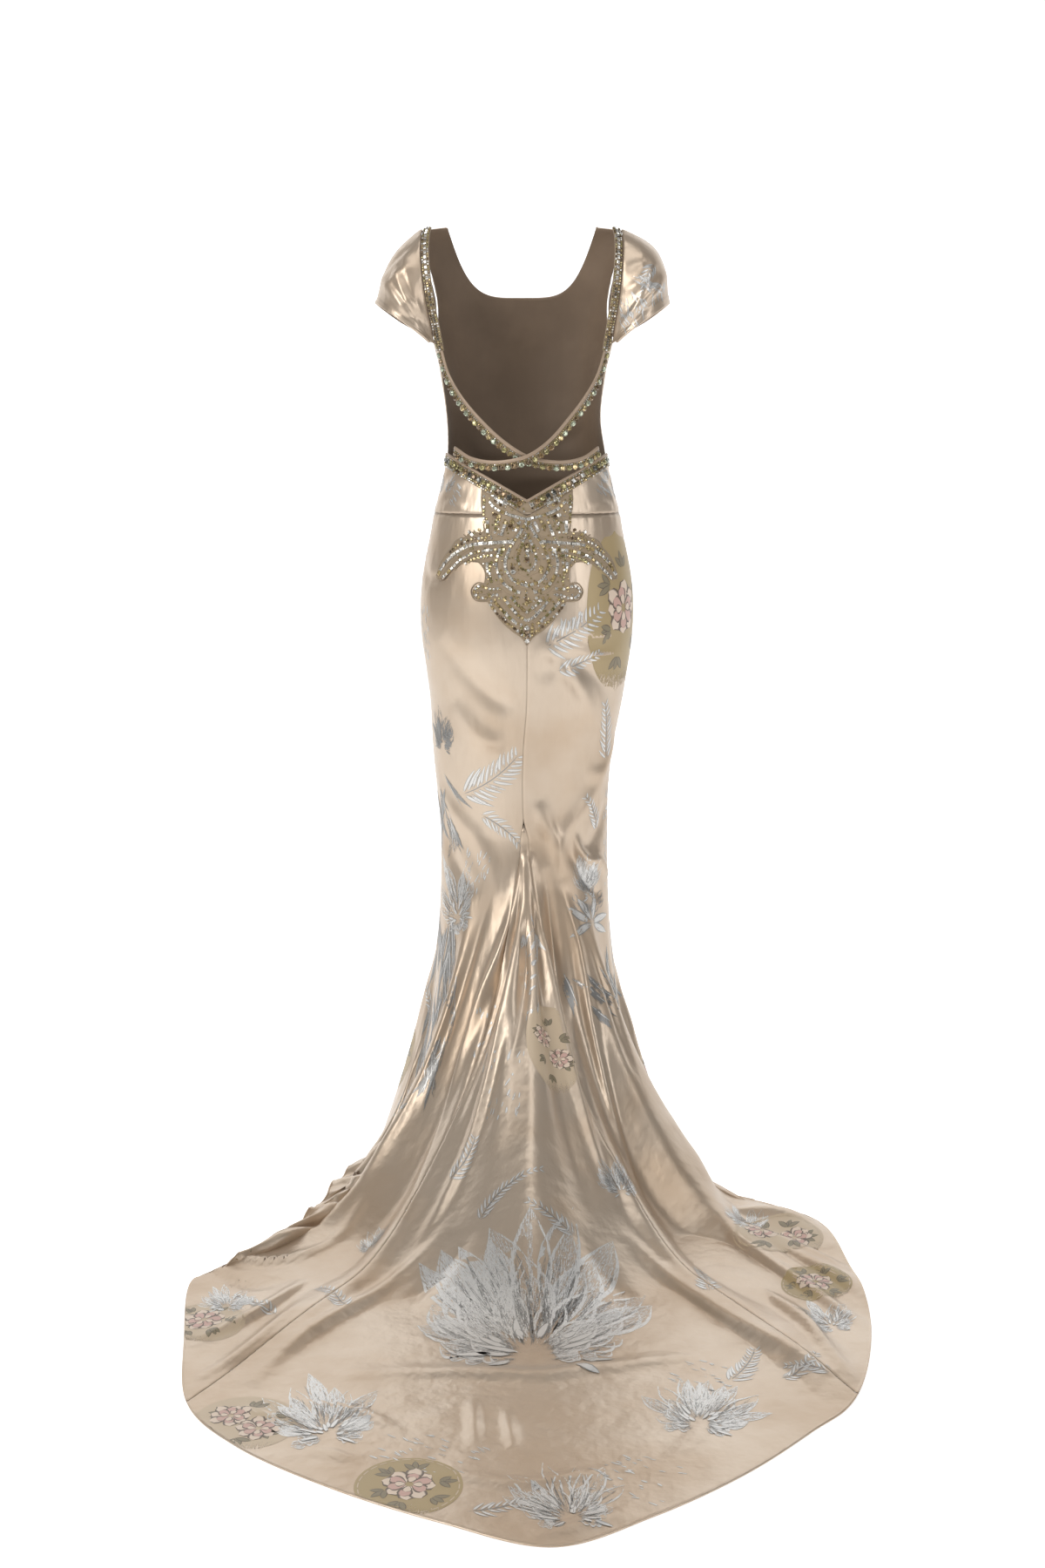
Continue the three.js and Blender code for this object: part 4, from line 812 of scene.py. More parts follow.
@functools.lru_cache(maxsize=None)
def finish(name):
    """The gown's finishes by name, from the colours in the sidebar."""
    dye = bpy.context.scene.gown_colours
    if name == "satin":
        return cloth_material("champagne_satin", dye.satin, dye.satin_deep, 0.36, 0.00004, 0.0045,
                              Metallic=0.6, Sheen_Weight=0.1, Sheen_Roughness=0.4, Specular_IOR_Level=0.6)
    # inner face: dark brown as painted shade inside the gown, over the satin's matt reverse
    if name == "reverse":
        return cloth_material("satin_shaded_reverse", dye.reverse, [0.75 * c for c in dye.reverse], 0.62, 0.00006,
                              0.002, Sheen_Weight=0.2)
    if name == "binding":
        return cloth_material("satin_binding", dye.binding, [0.8 * c for c in dye.binding], 0.45, 0.00004,
                              0.0006, Metallic=0.2, Sheen_Weight=0.2)
    if name == "ecru":
        return cloth_material("ecru_ground", dye.ecru, [0.8 * c for c in dye.ecru], 0.7, 0.00012, 0.0006,
                              Sheen_Weight=0.2)
    if name == "stones":
        return stone_material()
    return brocade_material()


def stone_material():
    """Foil-backed cut stones: each stone's own tint with painted glints on its facets, a little cloudy
    inside, under a clear coat.
    """
    material, tree, main = new_material("cut_stones", Metallic=0.55, Coat_Weight=0.6, Coat_Roughness=0.04,
                                        IOR=1.55)
    tint = node(tree, "Attribute", attribute_name="tint")
    place = node(tree, "TexCoord").outputs["Object"]
    cloud = noise(tree, place, 420.0, 2.0)
    shade = blend(tree, ramp(tree, cloud, 0.35, 0.75), tint.outputs["Color"], (0.2, 0.17, 0.1, 1), "MULTIPLY")
    link(tree, blend(tree, 0.35, tint.outputs["Color"], shade), main.inputs["Base Color"])
    link(tree, ramp(tree, cloud, 0.3, 0.7, 0.08, 0.24), main.inputs["Roughness"])
    return material


def brocade_material():
    """Woven figures: fill and outline tints per stroke, streaked where the threads float thinly."""
    material, tree, main = new_material("brocade_threads", Specular_IOR_Level=0.6)
    fill = node(tree, "Attribute", attribute_name="fill")
    line = node(tree, "Attribute", attribute_name="line")
    facts = node(tree, "Attribute", attribute_name="facts")
    part = node(tree, "SeparateColor", Color=facts.outputs["Color"])
    stroke = node(tree, "UVMap", uv_map="stroke").outputs["UV"]
    brush = node(tree, "UVMap", uv_map="brush").outputs["UV"]
    group = node(tree, "Group", node_tree=effects()["brushed"], Stroke=stroke, Brush=brush)
    side = node(tree, "SeparateXYZ", Vector=stroke).outputs[1]
    side = ramp(tree, maths(tree, "ABSOLUTE", maths(tree, "SUBTRACT", side, 0.5)), 0.3, 0.42)
    edge = times(tree, side, part.outputs[1])
    worn = times(tree, times(tree, side, part.outputs[2]), 0.5)
    worn = maths(tree, "SUBTRACT", 1.0, worn)
    link(tree, maths(tree, "MAXIMUM", times(tree, part.outputs[0], worn), edge), group.inputs["Cover"])
    link(tree, blend(tree, edge, fill.outputs["Color"], line.outputs["Color"]), main.inputs["Base Color"])
    link(tree, group.outputs["Shows"], main.inputs["Alpha"])
    link(tree, times(tree, part.outputs[2], 0.65), main.inputs["Metallic"])
    threads = noise(tree, stretch(tree, brush, (1500, 2600, 1)), 1.0, 1.0)
    link(tree, ramp(tree, threads, 0.3, 0.7, 0.34, 0.46), main.inputs["Roughness"])
    bump = node(tree, "Bump", Strength=1.0, Distance=0.00006, Height=threads)
    link(tree, bump.outputs["Normal"], main.inputs["Normal"])
    return material


# Woven figures. A stroke is a row of numbers, in mm and degrees on the flat cloth (0 right, 90 up):
# x, y, heading, length, bend, half width, roundness, belly, fill tint, cover, line tint, line cover,
# metal, layer. Its half width is w (4 s (1 - s))^roundness with s = t^belly.
HALF_WIDTH, FILL, COVER, LINE, LINE_COVER, METAL, LAYER = 5, 8, 9, 10, 11, 12, 13
SILVER, SILVER_DARK, PETAL, PINK, CREAM, OLIVE, LEAF, INK = range(8)
BROAD = 30  # half width in mm above which a stroke gets a fine grid


def stroke(x, y, heading, length, bend, width, shape=(1.0, 1.0), fill=SILVER, cover=0.7, line=SILVER_DARK,
           line_cover=0.9, metal=1.0, layer=0):
    return (x, y, heading, length, bend, width, *shape, fill, cover, line, line_cover, metal, layer)


def fan_flower(rng, size, spread=250, lean=90, rings=3, tint=SILVER):
    """Rings of long pointed leaves that fan out of a low heart, each with three dark streaks."""
    rows = []
    for ring in range(rings, 0, -1):
        reach, count = size * (0.5 + 0.5 * ring / rings), 7 + 2 * ring
        for k in range(count):
            place = k / (count - 1) - 0.5
            heading = lean + spread * place + rng.uniform(-6, 6)
            length = reach * rng.uniform(0.78, 1.1) * max(0.3, 0.25 + 0.75 * np.cos(spread * place * RAD))
            foot = size * 0.06 * ring
            x, y = polar(foot, heading)
            bend = rng.uniform(-14, 14) - 40 * place
            wide = size * rng.uniform(0.07, 0.105)
            rows.append(stroke(x, y, heading, length - foot, bend, wide, (1.3, 1.25), tint,
                               rng.uniform(0.25, 0.62), line=tint, line_cover=0.62, layer=rings - ring))
            for shift in (-0.5, 0.05, 0.45):
                up, left = polar(shift * wide, heading)
                rows.append(stroke(x - left, y + up, heading + 6 * shift,
                                   (length - foot) * rng.uniform(0.5, 0.85), bend, wide * 0.08,
                                   (0.5, 1.2), SILVER_DARK, 0.45, layer=rings - ring + 1))
    for _ in range(14):
        turn = lean + rng.uniform(-130, 130)
        far = size * rng.uniform(0.02, 0.2)
        rows.append(stroke(*polar(far, turn), turn, size * rng.uniform(0.06, 0.2), rng.uniform(-20, 20),
                           size * 0.02, (0.8, 1.0), tint, 0.75, layer=rings + 2))
    return rows


def spray(rng, size, count=14, lean=-90, tint=SILVER_DARK):
    """Long dark leaves that hang side by side, each with a pale rib."""
    rows = []
    for k in range(count):
        x, y = size * rng.uniform(-0.32, 0.32), size * rng.uniform(-0.3, 0.5)
        heading = lean + rng.uniform(-24, 24)
        length, wide = size * rng.uniform(0.4, 0.9), size * rng.uniform(0.03, 0.06)
        rows.append(stroke(x, y, heading, length, rng.uniform(-26, 26), wide, (1.3, 1.0), tint,
                           rng.uniform(0.45, 0.8), line_cover=0.5, layer=k % 3))
        rows.append(stroke(x, y, heading + 2, length * 0.85, 0, wide * 0.16, (0.5, 1.0), SILVER, 0.8,
                           layer=3))
    return rows


def frond(rng, length, heading=90, bend=30, pairs=9, slant=48, leaf=0.26):
    """A stem with pairs of thin leaves that shorten towards its tip."""
    rows = [stroke(0, 0, heading, length, bend, 0.9, (0.4, 1.0), SILVER_DARK, 0.8)]
    for k in range(1, pairs + 1):
        share = k / (pairs + 1)
        turn = heading + bend * share
        x, y = polar(length * share, heading + 0.5 * bend * share)
        reach = length * leaf * (1.15 - 0.75 * share) * rng.uniform(0.85, 1.1)
        for side in (-1, 1):
            rows.append(stroke(x, y, turn + side * slant + rng.uniform(-6, 6), reach, -side * 18,
                               1.3 + reach * 0.035, (0.9, 0.8), cover=rng.uniform(0.55, 0.9), layer=1))
    return rows


def berries(rng, size):
    """Small outlined ovals above a fan of six broad leaves."""
    rows = []
    for _ in range(17):
        turn = rng.uniform(40, 140)
        far = size * rng.uniform(0.15, 0.62)
        rows.append(stroke(*polar(far, turn), turn, size * 0.15, 0, size * 0.06, (0.5, 1.0), cover=0.25,
                           line_cover=1.0, layer=2))
    for heading in (-12, 18, 62, 118, 160, 196):
        rows.append(stroke(0, 0, heading, size * rng.uniform(0.62, 0.85), rng.uniform(-25, 25), size * 0.085,
                           (1.0, 1.1), cover=0.65))
    return rows


def dashes(rng, width, height, count):
    """Loose upright dashes, in leaning columns."""
    rows = []
    for _ in range(count):
        x, y = rng.uniform(-width, width), rng.uniform(-height, height)
        rows.append(stroke(x, y, 80 + rng.uniform(-12, 12), rng.uniform(5, 17), rng.uniform(-20, 20),
                           rng.uniform(0.7, 1.7), (0.6, 1.0), cover=rng.uniform(0.5, 0.95)))
    return rows


def peony(rng, size, x0, y0):
    """Three rounds of broad rounded petals with an ink outline, the middle one deeper in colour."""
    rows = []
    for ring, (count, reach, wide) in enumerate(((8, 1.0, 0.36), (6, 0.72, 0.3), (4, 0.42, 0.2))):
        for k in range(count):
            heading = 360 * (k + 0.5 * ring) / count + rng.uniform(-9, 9)
            dx, dy = polar(size * 0.12, heading)
            rows.append(stroke(x0 + dx, y0 + dy, heading, size * reach * rng.uniform(0.85, 1.05),
                               rng.uniform(-15, 15), size * wide, (0.55, 1.7),
                               PETAL if ring % 2 == 0 else PINK, 1.0, INK, 1.0, 0.0, 2 + ring))
    return rows


def leaves(rng, places, size):
    """Outlined leaves in threes, on short stems."""
    rows = []
    for x, y, heading in places:
        rows.append(stroke(x, y, heading, size * 0.7, 12, 0.6, (0.4, 1.0), INK, 1.0, INK, 1.0, 0.0, 1))
        for turn in (-34, 6, 44):
            rows.append(stroke(x, y, heading + turn, size * rng.uniform(0.8, 1.1), rng.uniform(-20, 20),
                               size * 0.2, (0.9, 0.9), LEAF, 0.9, INK, 1.0, 0.15, 1))
    return rows


def medallion(rng, half_width, half_height, ground, ringed=True, flowers=1):
    """An oval ground with a broken pale ring, one or two peonies and their leaves."""
    rows = [stroke(0, -half_height, 90, 2 * half_height, 0, half_width, (0.5, 1.0), ground, 1.0, ground, 1.0,
                   0.12, 0)]
    if ringed:
        for share in np.arange(0, 1, 1 / 26):
            right, up = polar(1, 360 * share)
            heading = np.degrees(np.arctan2(half_height * right, -half_width * up))
            rows.append(stroke(0.93 * half_width * right, 0.93 * half_height * up, heading, 0.2 * half_height,
                               11, 0.9, (0.3, 1.0), CREAM, 1.0, INK, 0.25, 0.0, 1))
    spots = [(0, 0.05)] if flowers == 1 else [(-0.28, 0.26), (0.3, -0.2)]
    size = half_width * (0.5 if flowers == 1 else 0.38)
    places = [(rng.uniform(-0.1, 0.1) * half_width + 0.5 * half_width * np.cos(a),
               0.55 * half_height * np.sin(a), np.degrees(a) + rng.uniform(-25, 25))
              for a in np.arange(0.4, 6.3, 1.05)]
    rows += leaves(rng, places, half_width * 0.34)
    for x, y in spots:
        rows += peony(rng, size, x * half_width, y * half_height)
    return rows


# Figures on the skirt, by the function that draws them: label, drop, turn of the figure in degrees, and
# what the function needs.
FIGURES = {
    fan_flower: [
        (-1, 0.675, 0, (318, 176, 92, 4)), (-66, 0.13, 25, (104, 330)), (-23, 0.925, 25, (150, 230)),
        (19, 0.90, -25, (140, 230)), (2, 0.965, 8, (128, 220)), (47, 0.93, -20, (84,)),
        (-50, 0.92, 40, (74,)), (60, 0.78, -30, (78,)), (36, 0.5, -10, (70, 160)), (-46, 0.62, 20, (60,)),
        (65, 0.10, 0, (70, 90, 85, 2)), (-84, 0.6, 20, (80,)), (82, 0.55, -20, (80,)), (130, 0.4, 0, (92,)),
        (170, -0.3, 10, (84,)), (215, 0.3, -15, (92,)), (190, 0.72, 5, (100,)), (232, -0.5, 15, (76,)),
        (-74, -0.28, -20, (66, 180, 110, 3, SILVER_DARK)),
    ],
    spray: [
        (-82, -0.1, 8, (110,)), (-80, 0.14, 6, (130, 20)), (-66, 0.24, -8, (120, 18)),
        (-84, 0.34, 8, (130, 18)), (-60, 0.38, 5, (90, 12)), (78, 0.22, 14, (110, 12)),
        (56, 0.26, 20, (120, 8)), (84, 0.42, 10, (90,)), (7, 0.15, -3, (66, 9, -90, SILVER)),
        (205, 0.5, 5, (100,)), (140, -0.15, -8, (90,)),
    ],
    berries: [
        (64, 0.15, -8, (80,)), (110, -0.1, 10, (76,)), (240, -0.2, 0, (76,)),
    ],
    frond: [
        (-66, -0.13, -75, (130, 90, 34, 13, 52, 0.36)), (-58, -0.08, -112, (96, 90, -36, 10)),
        (44, -0.60, -70, (120, 90, 20, 12, 60, 0.3)), (48, -0.53, -84, (90, 90, 25)),
        (78, -0.22, 12, (110, 90, 10, 11)), (74, 0.0, 12, (80, 90, 30)), (-30, 0.47, -30, (90,)),
        (-16, 0.5, -10, (130, 90, -70, 14, 40, 0.16)), (14, 0.52, 35, (96,)),
        (26, 0.86, -60, (110, 90, 30, 12)), (33, 0.9, -100, (80, 90, 60, 9)), (-34, 0.72, 40, (96,)),
        (38, 0.72, -30, (96, 90, 20, 11)), (-44, 0.82, 70, (86,)), (40, 0.96, 20, (70,)),
        (-8, 0.975, -80, (84,)), (-86, 0.36, 20, (90,)), (88, 0.25, -12, (90,)), (150, 0.1, 0, (100,)),
        (205, -0.55, 20, (100,)), (128, -0.6, -20, (100,)), (160, 0.8, 30, (90,)), (-60, 0.5, 15, (90,)),
    ],
    dashes: [
        (-84, 0.24, 4, (20, 80, 60)), (-80, -0.62, 0, (16, 40, 24)), (6, 0.22, 0, (14, 60, 26)),
        (84, 0.02, 0, (14, 90, 44)), (-58, 0.08, 0, (26, 40, 34)), (-14, 0.34, 0, (30, 60, 30)),
        (52, -0.66, 10, (26, 12, 26)), (-12, 0.9, 70, (40, 60, 40)), (10, 0.94, 60, (50, 50, 40)),
        (24, 0.84, 50, (50, 40, 36)), (-38, 0.3, 10, (16, 60, 22)),
    ],
    medallion: [
        (20, 0.302, 0, (45, 74, CREAM, False, 2)), (-13.5, 0.96, 0, (62, 62, OLIVE)),
        (-31.5, 0.965, 20, (66, 66, CREAM, False, 2)), (-50, 0.965, 10, (56, 56, CREAM)),
        (-58, 0.965, 0, (50, 50, OLIVE)), (61, 0.85, -10, (66, 66, CREAM, True, 2)),
        (53, 0.9, 0, (50, 50, OLIVE)), (75, -0.70, 0, (78, 128, OLIVE, False, 1)),
        (150, -0.5, 0, (74, 74, CREAM)), (200, 0.45, 0, (74, 74, OLIVE)),
        (105, 0.75, 0, (66, 66, CREAM, True, 2)), (245, 0.7, 0, (66, 66, OLIVE)),
        (128, 0.05, 0, (60, 84, OLIVE, False, 2)),
    ],
}
# Figures on the other panels: function, place in the panel's own two parameters, and the rest as above.
SMALL_FIGURES = {
    "yoke_back": [
        (fan_flower, -62, 0.55, 0, (26, 300, 90, 2)), (frond, -76, 0.7, 20, (44, 90, 20, 7)),
        (spray, 60, 0.5, 60, (40, 8, -90, SILVER)), (dashes, 68, 0.5, 40, (26, 12, 30)),
        (dashes, -50, 0.7, 60, (16, 10, 12)), (frond, 78, 0.8, -30, (44, 90, 20, 7)),
    ],
    "sleeve_right": [
        (spray, 0.24, 0.42, -20, (60, 14, -90, SILVER)), (dashes, 0.1, 0.5, 0, (14, 26, 20)),
        (frond, 0.4, 0.5, 100, (70, 90, 30, 9)), (dashes, 0.3, 0.86, 30, (60, 8, 40)),
        (fan_flower, 0.72, 0.45, 40, (44,)),
    ],
    "bodice_front": [
        (fan_flower, -0.34, 0.42, 12, (72,)), (frond, 0.36, 0.3, -20, (90,)),
        (spray, 0.5, 0.7, 0, (80, 12)), (frond, -0.6, 0.75, 25, (84,)),
        (medallion, 0.16, 0.62, 0, (46, 60, CREAM, False, 2)), (dashes, -0.1, 0.75, 0, (30, 40, 26)),
    ],
}


@functools.lru_cache(maxsize=None)
def skirt_slopes():
    """The plain skirt's slopes per degree of label and per share of drop, on a grid."""
    label, drop = np.meshgrid(np.arange(-180, 271.0), np.linspace(-1, 1, 201))
    points = skirt_plain(label, drop)
    return np.gradient(points, axis=1), np.gradient(points, axis=0) * 100


def table_slope(label, drop):
    """Slopes across and down at any label and drop, read between the rows and columns of skirt_slopes."""
    i = np.clip(label + 180, 0, 449.99)
    j = np.clip((drop + 1) * 100, 0, 199.99)
    i0, j0 = i.astype(int), j.astype(int)
    s, t = (i - i0)[..., None], (j - j0)[..., None]
    return [(f[j0, i0] * (1 - s) + f[j0, i0 + 1] * s) * (1 - t)
            + (f[j0 + 1, i0] * (1 - s) + f[j0 + 1, i0 + 1] * s) * t for f in skirt_slopes()]


def panel_slope(name):
    """Slopes across and down of a panel's own surface, from points a little to both sides."""
    surface = PANELS[name][0]
    du, dv = (0.4, 0.01) if name == "yoke_back" else (0.004, 0.006)

    def slope(u, v):
        across = surface(u + du, v) - surface(u - du, v)
        down = surface(u, v + dv) - surface(u, v - dv)
        return across / (2 * du), down / (2 * dv)

    return slope


def wander(slope, label, drop, x, y, steps=16):
    """Labels and drops reached by walking straight over the cloth for x mm right and y mm up from a place."""
    at_label, at_drop = np.full(x.shape, float(label)), np.full(x.shape, float(drop))
    a, b = slope(at_label, at_drop)
    out = unit(np.cross(b, a))
    foot = unit(b)
    way = np.cross(out, foot) * x[..., None] - foot * y[..., None]
    far = np.linalg.norm(way, axis=-1, keepdims=True)
    for _ in range(steps):
        a, b = slope(at_label, at_drop)
        step = way / steps
        aa, bb, ab = (a * a).sum(-1) + 1e-3, (b * b).sum(-1) + 1e-3, (a * b).sum(-1)
        ga, gb = (a * step).sum(-1), (b * step).sum(-1)
        rest = np.maximum(aa * bb - ab * ab, 1e-3)
        at_label = at_label + np.clip((ga * bb - gb * ab) / rest, -2, 2)
        at_drop = np.clip(at_drop + (gb * aa - ga * ab) / rest, -1.02, 1.02)
        out = unit(np.cross(b, a))
        way = unit(square_to(way, out)) * far
    return at_label, at_drop


def stroke_grids(rows, along, across):
    """Points of each stroke on the flat cloth, with the share along and across it."""
    rows = np.asarray(rows, float)
    t = np.linspace(0, 1, along + 1)[None, :, None]
    s = np.linspace(-1, 1, across + 1)[None, None, :]
    x, y, heading, length, bend, width, roundness, belly = (rows[:, k, None, None] for k in range(8))
    mid = (heading + 0.5 * bend * t) * RAD
    turn = (heading + bend * t) * RAD
    tau = t**belly
    half = width * np.maximum(4 * tau * (1 - tau), 0)**roundness
    px = x + length * t * np.cos(mid) - s * half * np.sin(turn)
    py = y + length * t * np.sin(mid) + s * half * np.cos(turn)
    return px, py, t + 0 * px, s + 0 * px, length * t + 0 * px, s * half + 0 * px


def tint_table():
    """Colours of the strokes, in the order of their tint numbers."""
    dye = bpy.context.scene.gown_colours
    return np.array([[*c, 1] for c in (dye.silver, [0.45 * v for v in dye.silver], dye.petal, dye.pink,
                                       dye.cream, dye.olive, dye.leaf, dye.ink)])


def figure_strokes(figures, slope, seed=7):
    """Every figure of a panel: label, drop and facts of all its stroke points, in a few batches."""
    rng = np.random.default_rng(seed)
    batches = []
    for draw, label, drop, turn, wants in figures:
        rows = draw(rng, *wants)
        wide = [row for row in rows if row[HALF_WIDTH] > BROAD]
        thin = [row for row in rows if row[HALF_WIDTH] <= BROAD]
        for part, (along, across) in ((wide, (26, 22)), (thin, (6, 4) if draw is medallion else (8, 2))):
            if not part:
                continue
            px, py, t, s, run, off = stroke_grids(part, along, across)
            c, s_turn = polar(1, turn)
            at_label, at_drop = wander(slope, label, drop, px * c - py * s_turn, px * s_turn + py * c)
            batches.append((np.asarray(part), at_label, at_drop, t, s, run, off))
    return batches


def diagonal(field):
    """Change of a field across each square of its grids."""
    return field[:, 1:, 1:] - field[:, :-1, :-1]


def weave_figures(name, batches):
    """The strokes that fall on one panel, cut off at its seams, on its outer face."""
    grid = cut(name)
    low, high = grid["left"], grid["right"]
    parts, start, palette = [], 0, tint_table()
    for serial, (rows, at_label, at_drop, t, s, run, off) in enumerate(batches):
        label = at_label
        if name in SKIRT:
            label = label - 360 * np.round((label.mean() - (low + high) / 2) / 360)
        middle = (label[:, 1:, 1:] + label[:, :-1, :-1]) / 2
        fall = (at_drop[:, 1:, 1:] + at_drop[:, :-1, :-1]) / 2
        near, far = min(low, high), max(low, high)
        keep = (middle > near) & (middle < far) & (fall > grid["stops"][0]) & (fall < 1)
        if not keep.any():
            continue
        count = len(label)
        margin = 0.004 * (far - near)
        lift = 0.22 + 0.09 * rows[:, LAYER] + 0.012 * (np.arange(count) % 7)
        lift = np.broadcast_to(lift[:, None, None], label.shape)
        at = on_panel(name, np.clip(label, near + margin, far - margin),
                      np.clip(at_drop, grid["stops"][0], 0.9985), lift)
        broad = np.linalg.norm(diagonal(at), axis=-1)
        broad = np.maximum(broad, np.linalg.norm(at[:, 1:, :-1] - at[:, :-1, 1:], axis=-1))
        keep &= broad < 2 * np.hypot(diagonal(run), diagonal(off)) + 3
        number = np.arange(label.size).reshape(label.shape)
        corners = np.stack([number[:, :-1, :-1], number[:, :-1, 1:], number[:, 1:, 1:],
                            number[:, 1:, :-1]], -1)
        picked = corners[keep]
        if not len(picked):
            continue
        used, flat = np.unique(picked, return_inverse=True)
        shift = (serial * 0.37 + 0.11 * np.arange(count))[:, None, None]
        each = np.broadcast_to(np.arange(count)[:, None, None], label.shape).ravel()[used]
        facts = [rows[each, COVER], rows[each, LINE_COVER], rows[each, METAL], np.ones(len(each))]
        parts.append((at.reshape(-1, 3)[used], flat.reshape(-1, 4) + start,
                      np.stack([t, s * 0.5 + 0.5], -1).reshape(-1, 2)[used],
                      np.stack([run / 1000 + shift, off / 1000 + shift], -1).reshape(-1, 2)[used],
                      palette[rows[each, FILL].astype(int)], palette[rows[each, LINE].astype(int)],
                      np.stack(facts, -1)))
        start += len(used)
    if not parts:
        return None
    points, faces, stroke_uv, brush_uv, fill, line, facts = map(np.concatenate, zip(*parts))
    piece = build(name + "_brocade", points, faces, [finish("brocade")],
                  {"stroke": stroke_uv, "brush": brush_uv}, {"fill": fill, "line": line, "facts": facts})
    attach(piece, "root")
    return piece


# Beadwork

def stone_shape(sides, rings, spin=0.0):
    """Rings of corners at (radius, height), closed by a point below and one above; all triangles."""
    turn = 2 * np.pi * (np.arange(sides) + spin) / sides
    points = [[0, 0, rings[0][1]]]
    for radius, height in rings:
        points += np.stack([radius * np.cos(turn), radius * np.sin(turn), 0 * turn + height], -1).tolist()
    points.append([0, 0, rings[-1][1]])
    a = np.arange(sides)
    b = (a + 1) % sides
    faces = [np.stack([0 * a, 1 + b, 1 + a], -1)]
    for k in range(len(rings) - 1):
        low, high = 1 + k * sides, 1 + (k + 1) * sides
        faces += [np.stack([low + a, low + b, high + b], -1), np.stack([low + a, high + b, high + a], -1)]
    top = 1 + (len(rings) - 1) * sides
    faces.append(np.stack([top + a, top + b, 0 * a + len(points) - 1], -1))
    return np.array(points), np.concatenate(faces)


STONES = {
    "square": stone_shape(4, [(1.25, 0), (1.35, 0.35), (0.85, 0.85)], 0.5),
    "round": stone_shape(8, [(0.85, 0), (1.0, 0.4), (0.55, 0.9)]),
    "oval": stone_shape(10, [(0.8, 0), (1.0, 0.3), (0.85, 0.7), (0.45, 1.0)]),
    "seed": stone_shape(6, [(0.55, 0), (1.0, 0.5), (0.55, 1.0)]),
}
# Stone tints: crystal, gold, amber, brown, olive, celadon, smoke.
TINTS = np.array([(1.0, 0.97, 0.9), (0.72, 0.56, 0.28), (0.42, 0.28, 0.14), (0.24, 0.16, 0.09),
                  (0.5, 0.44, 0.2), (0.6, 0.66, 0.5), (0.16, 0.16, 0.14)])
CRYSTAL, GOLD, AMBER, BROWN, GREEN_GOLD, CELADON, SMOKE = range(7)


class StoneTray:
    """Collects stones by place, outward and lengthways directions, half sizes and tint."""

    def __init__(self, rng):
        self.rng = rng
        self.points, self.faces, self.tints, self.start = [], [], [], 0

    def add(self, shape, at, out, along, size, tint):
        """size is half length, half width and height in mm; every input is one row for each stone.

        Each stone leans a little, and each of its facets is painted 0.15 to 1.35 times as bright as its tint:
        painted glints and dark facets for the stones' sparkle.
        """
        template, faces = STONES[shape]
        at, out, along = (np.atleast_2d(v) for v in (at, out, along))
        count = len(at)
        size = np.broadcast_to(size, (count, 3))
        out = unit(out + self.rng.normal(0, 0.12, (count, 3)))
        along = unit(square_to(along, out))
        side = np.cross(out, along)
        local = template[None] * size[:, None]
        world = (at[:, None] + along[:, None] * local[..., 0:1] + side[:, None] * local[..., 1:2]
                 + out[:, None] * local[..., 2:3])
        self.points.append(world.reshape(-1, 3))
        first = self.start + len(template) * np.arange(count)
        self.faces.append((faces[None] + first[:, None, None]).reshape(-1, 3))
        self.start += count * len(template)
        shade = np.broadcast_to(TINTS[np.broadcast_to(tint, (count,))], (count, 3))
        # painted glint: each facet's random brightness stands in for reflected sparkle
        painted_glint = self.rng.uniform(0.15, 1.05, (count, len(faces), 1))
        painted_glint = painted_glint + 0.3 * self.rng.uniform(0, 1, (count, 1, 1))
        facets = np.minimum(shade[:, None] * painted_glint, 1).reshape(-1, 3)
        self.tints.append(np.concatenate([facets, np.ones((len(facets), 1))], -1))

    def piece(self, name):
        """All the stones so far as one mesh."""
        made = build(name, np.concatenate(self.points), np.concatenate(self.faces), [finish("stones")],
                     facets=np.concatenate(self.tints))
        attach(made, "root")


def tube_faces(rows, count):
    """Squares between the rows of a tube of count corners."""
    a = np.arange(rows - 1)[:, None] * count + np.arange(count)
    b = np.arange(rows - 1)[:, None] * count + (np.arange(count) + 1) % count
    return np.stack([a, b, b + count, a + count], -1).reshape(-1, 4)


def band(name, at, side, out, profile, material):
    """A closed profile of (across, out) points in mm, carried along a path of frames."""
    profile = np.asarray(profile, float)
    points = at[:, None] + side[:, None] * profile[None, :, 0:1] + out[:, None] * profile[None, :, 1:2]
    rows, count = points.shape[:2]
    faces = tube_faces(rows, count)
    corner = np.arange(count)
    following = (corner + 1) % count
    first_end, last = 0 * corner + rows * count, (rows - 1) * count
    cap = [np.stack([first_end, following, corner], -1),
           np.stack([first_end + 1, last + corner, last + following], -1)]
    flat = np.concatenate([points.reshape(-1, 3), points.mean(1)[[0, -1]]])
    tri = np.concatenate([faces[:, [0, 1, 2]], faces[:, [0, 2, 3]], *cap])
    run = np.repeat(run_length(at), count)
    wrap = np.tile(run_length(profile), rows)
    uv = np.concatenate([np.stack([wrap, run], -1), [[0, 0], [0, run[-1]]]]) / 1000
    piece = build(name, flat, tri, [material], {"cloth": uv})
    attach(piece, "root")
    return piece


def frames(path, outward_at, steps):
    """Points of a path, its direction, the outward direction squared to it, and the one across."""
    share = np.linspace(0, 1, steps + 1)
    at = path(share)
    along = unit(path(np.minimum(share + 0.004, 1)) - path(np.maximum(share - 0.004, 0)))
    out = outward_at(at, share)
    out = unit(square_to(out, along))
    return at, along, out, np.cross(out, along)


def along_path(at, other, spacing, start=0.0):
    """Even places along a path, mm apart: each with its row of every array in other."""
    run = run_length(at)
    where = np.arange(start, run[-1] - 0.3 * spacing, spacing)

    def pick(field):
        return np.stack([np.interp(where, run, field[:, k]) for k in range(3)], -1)

    return pick(at), [unit(pick(field)) for field in other]


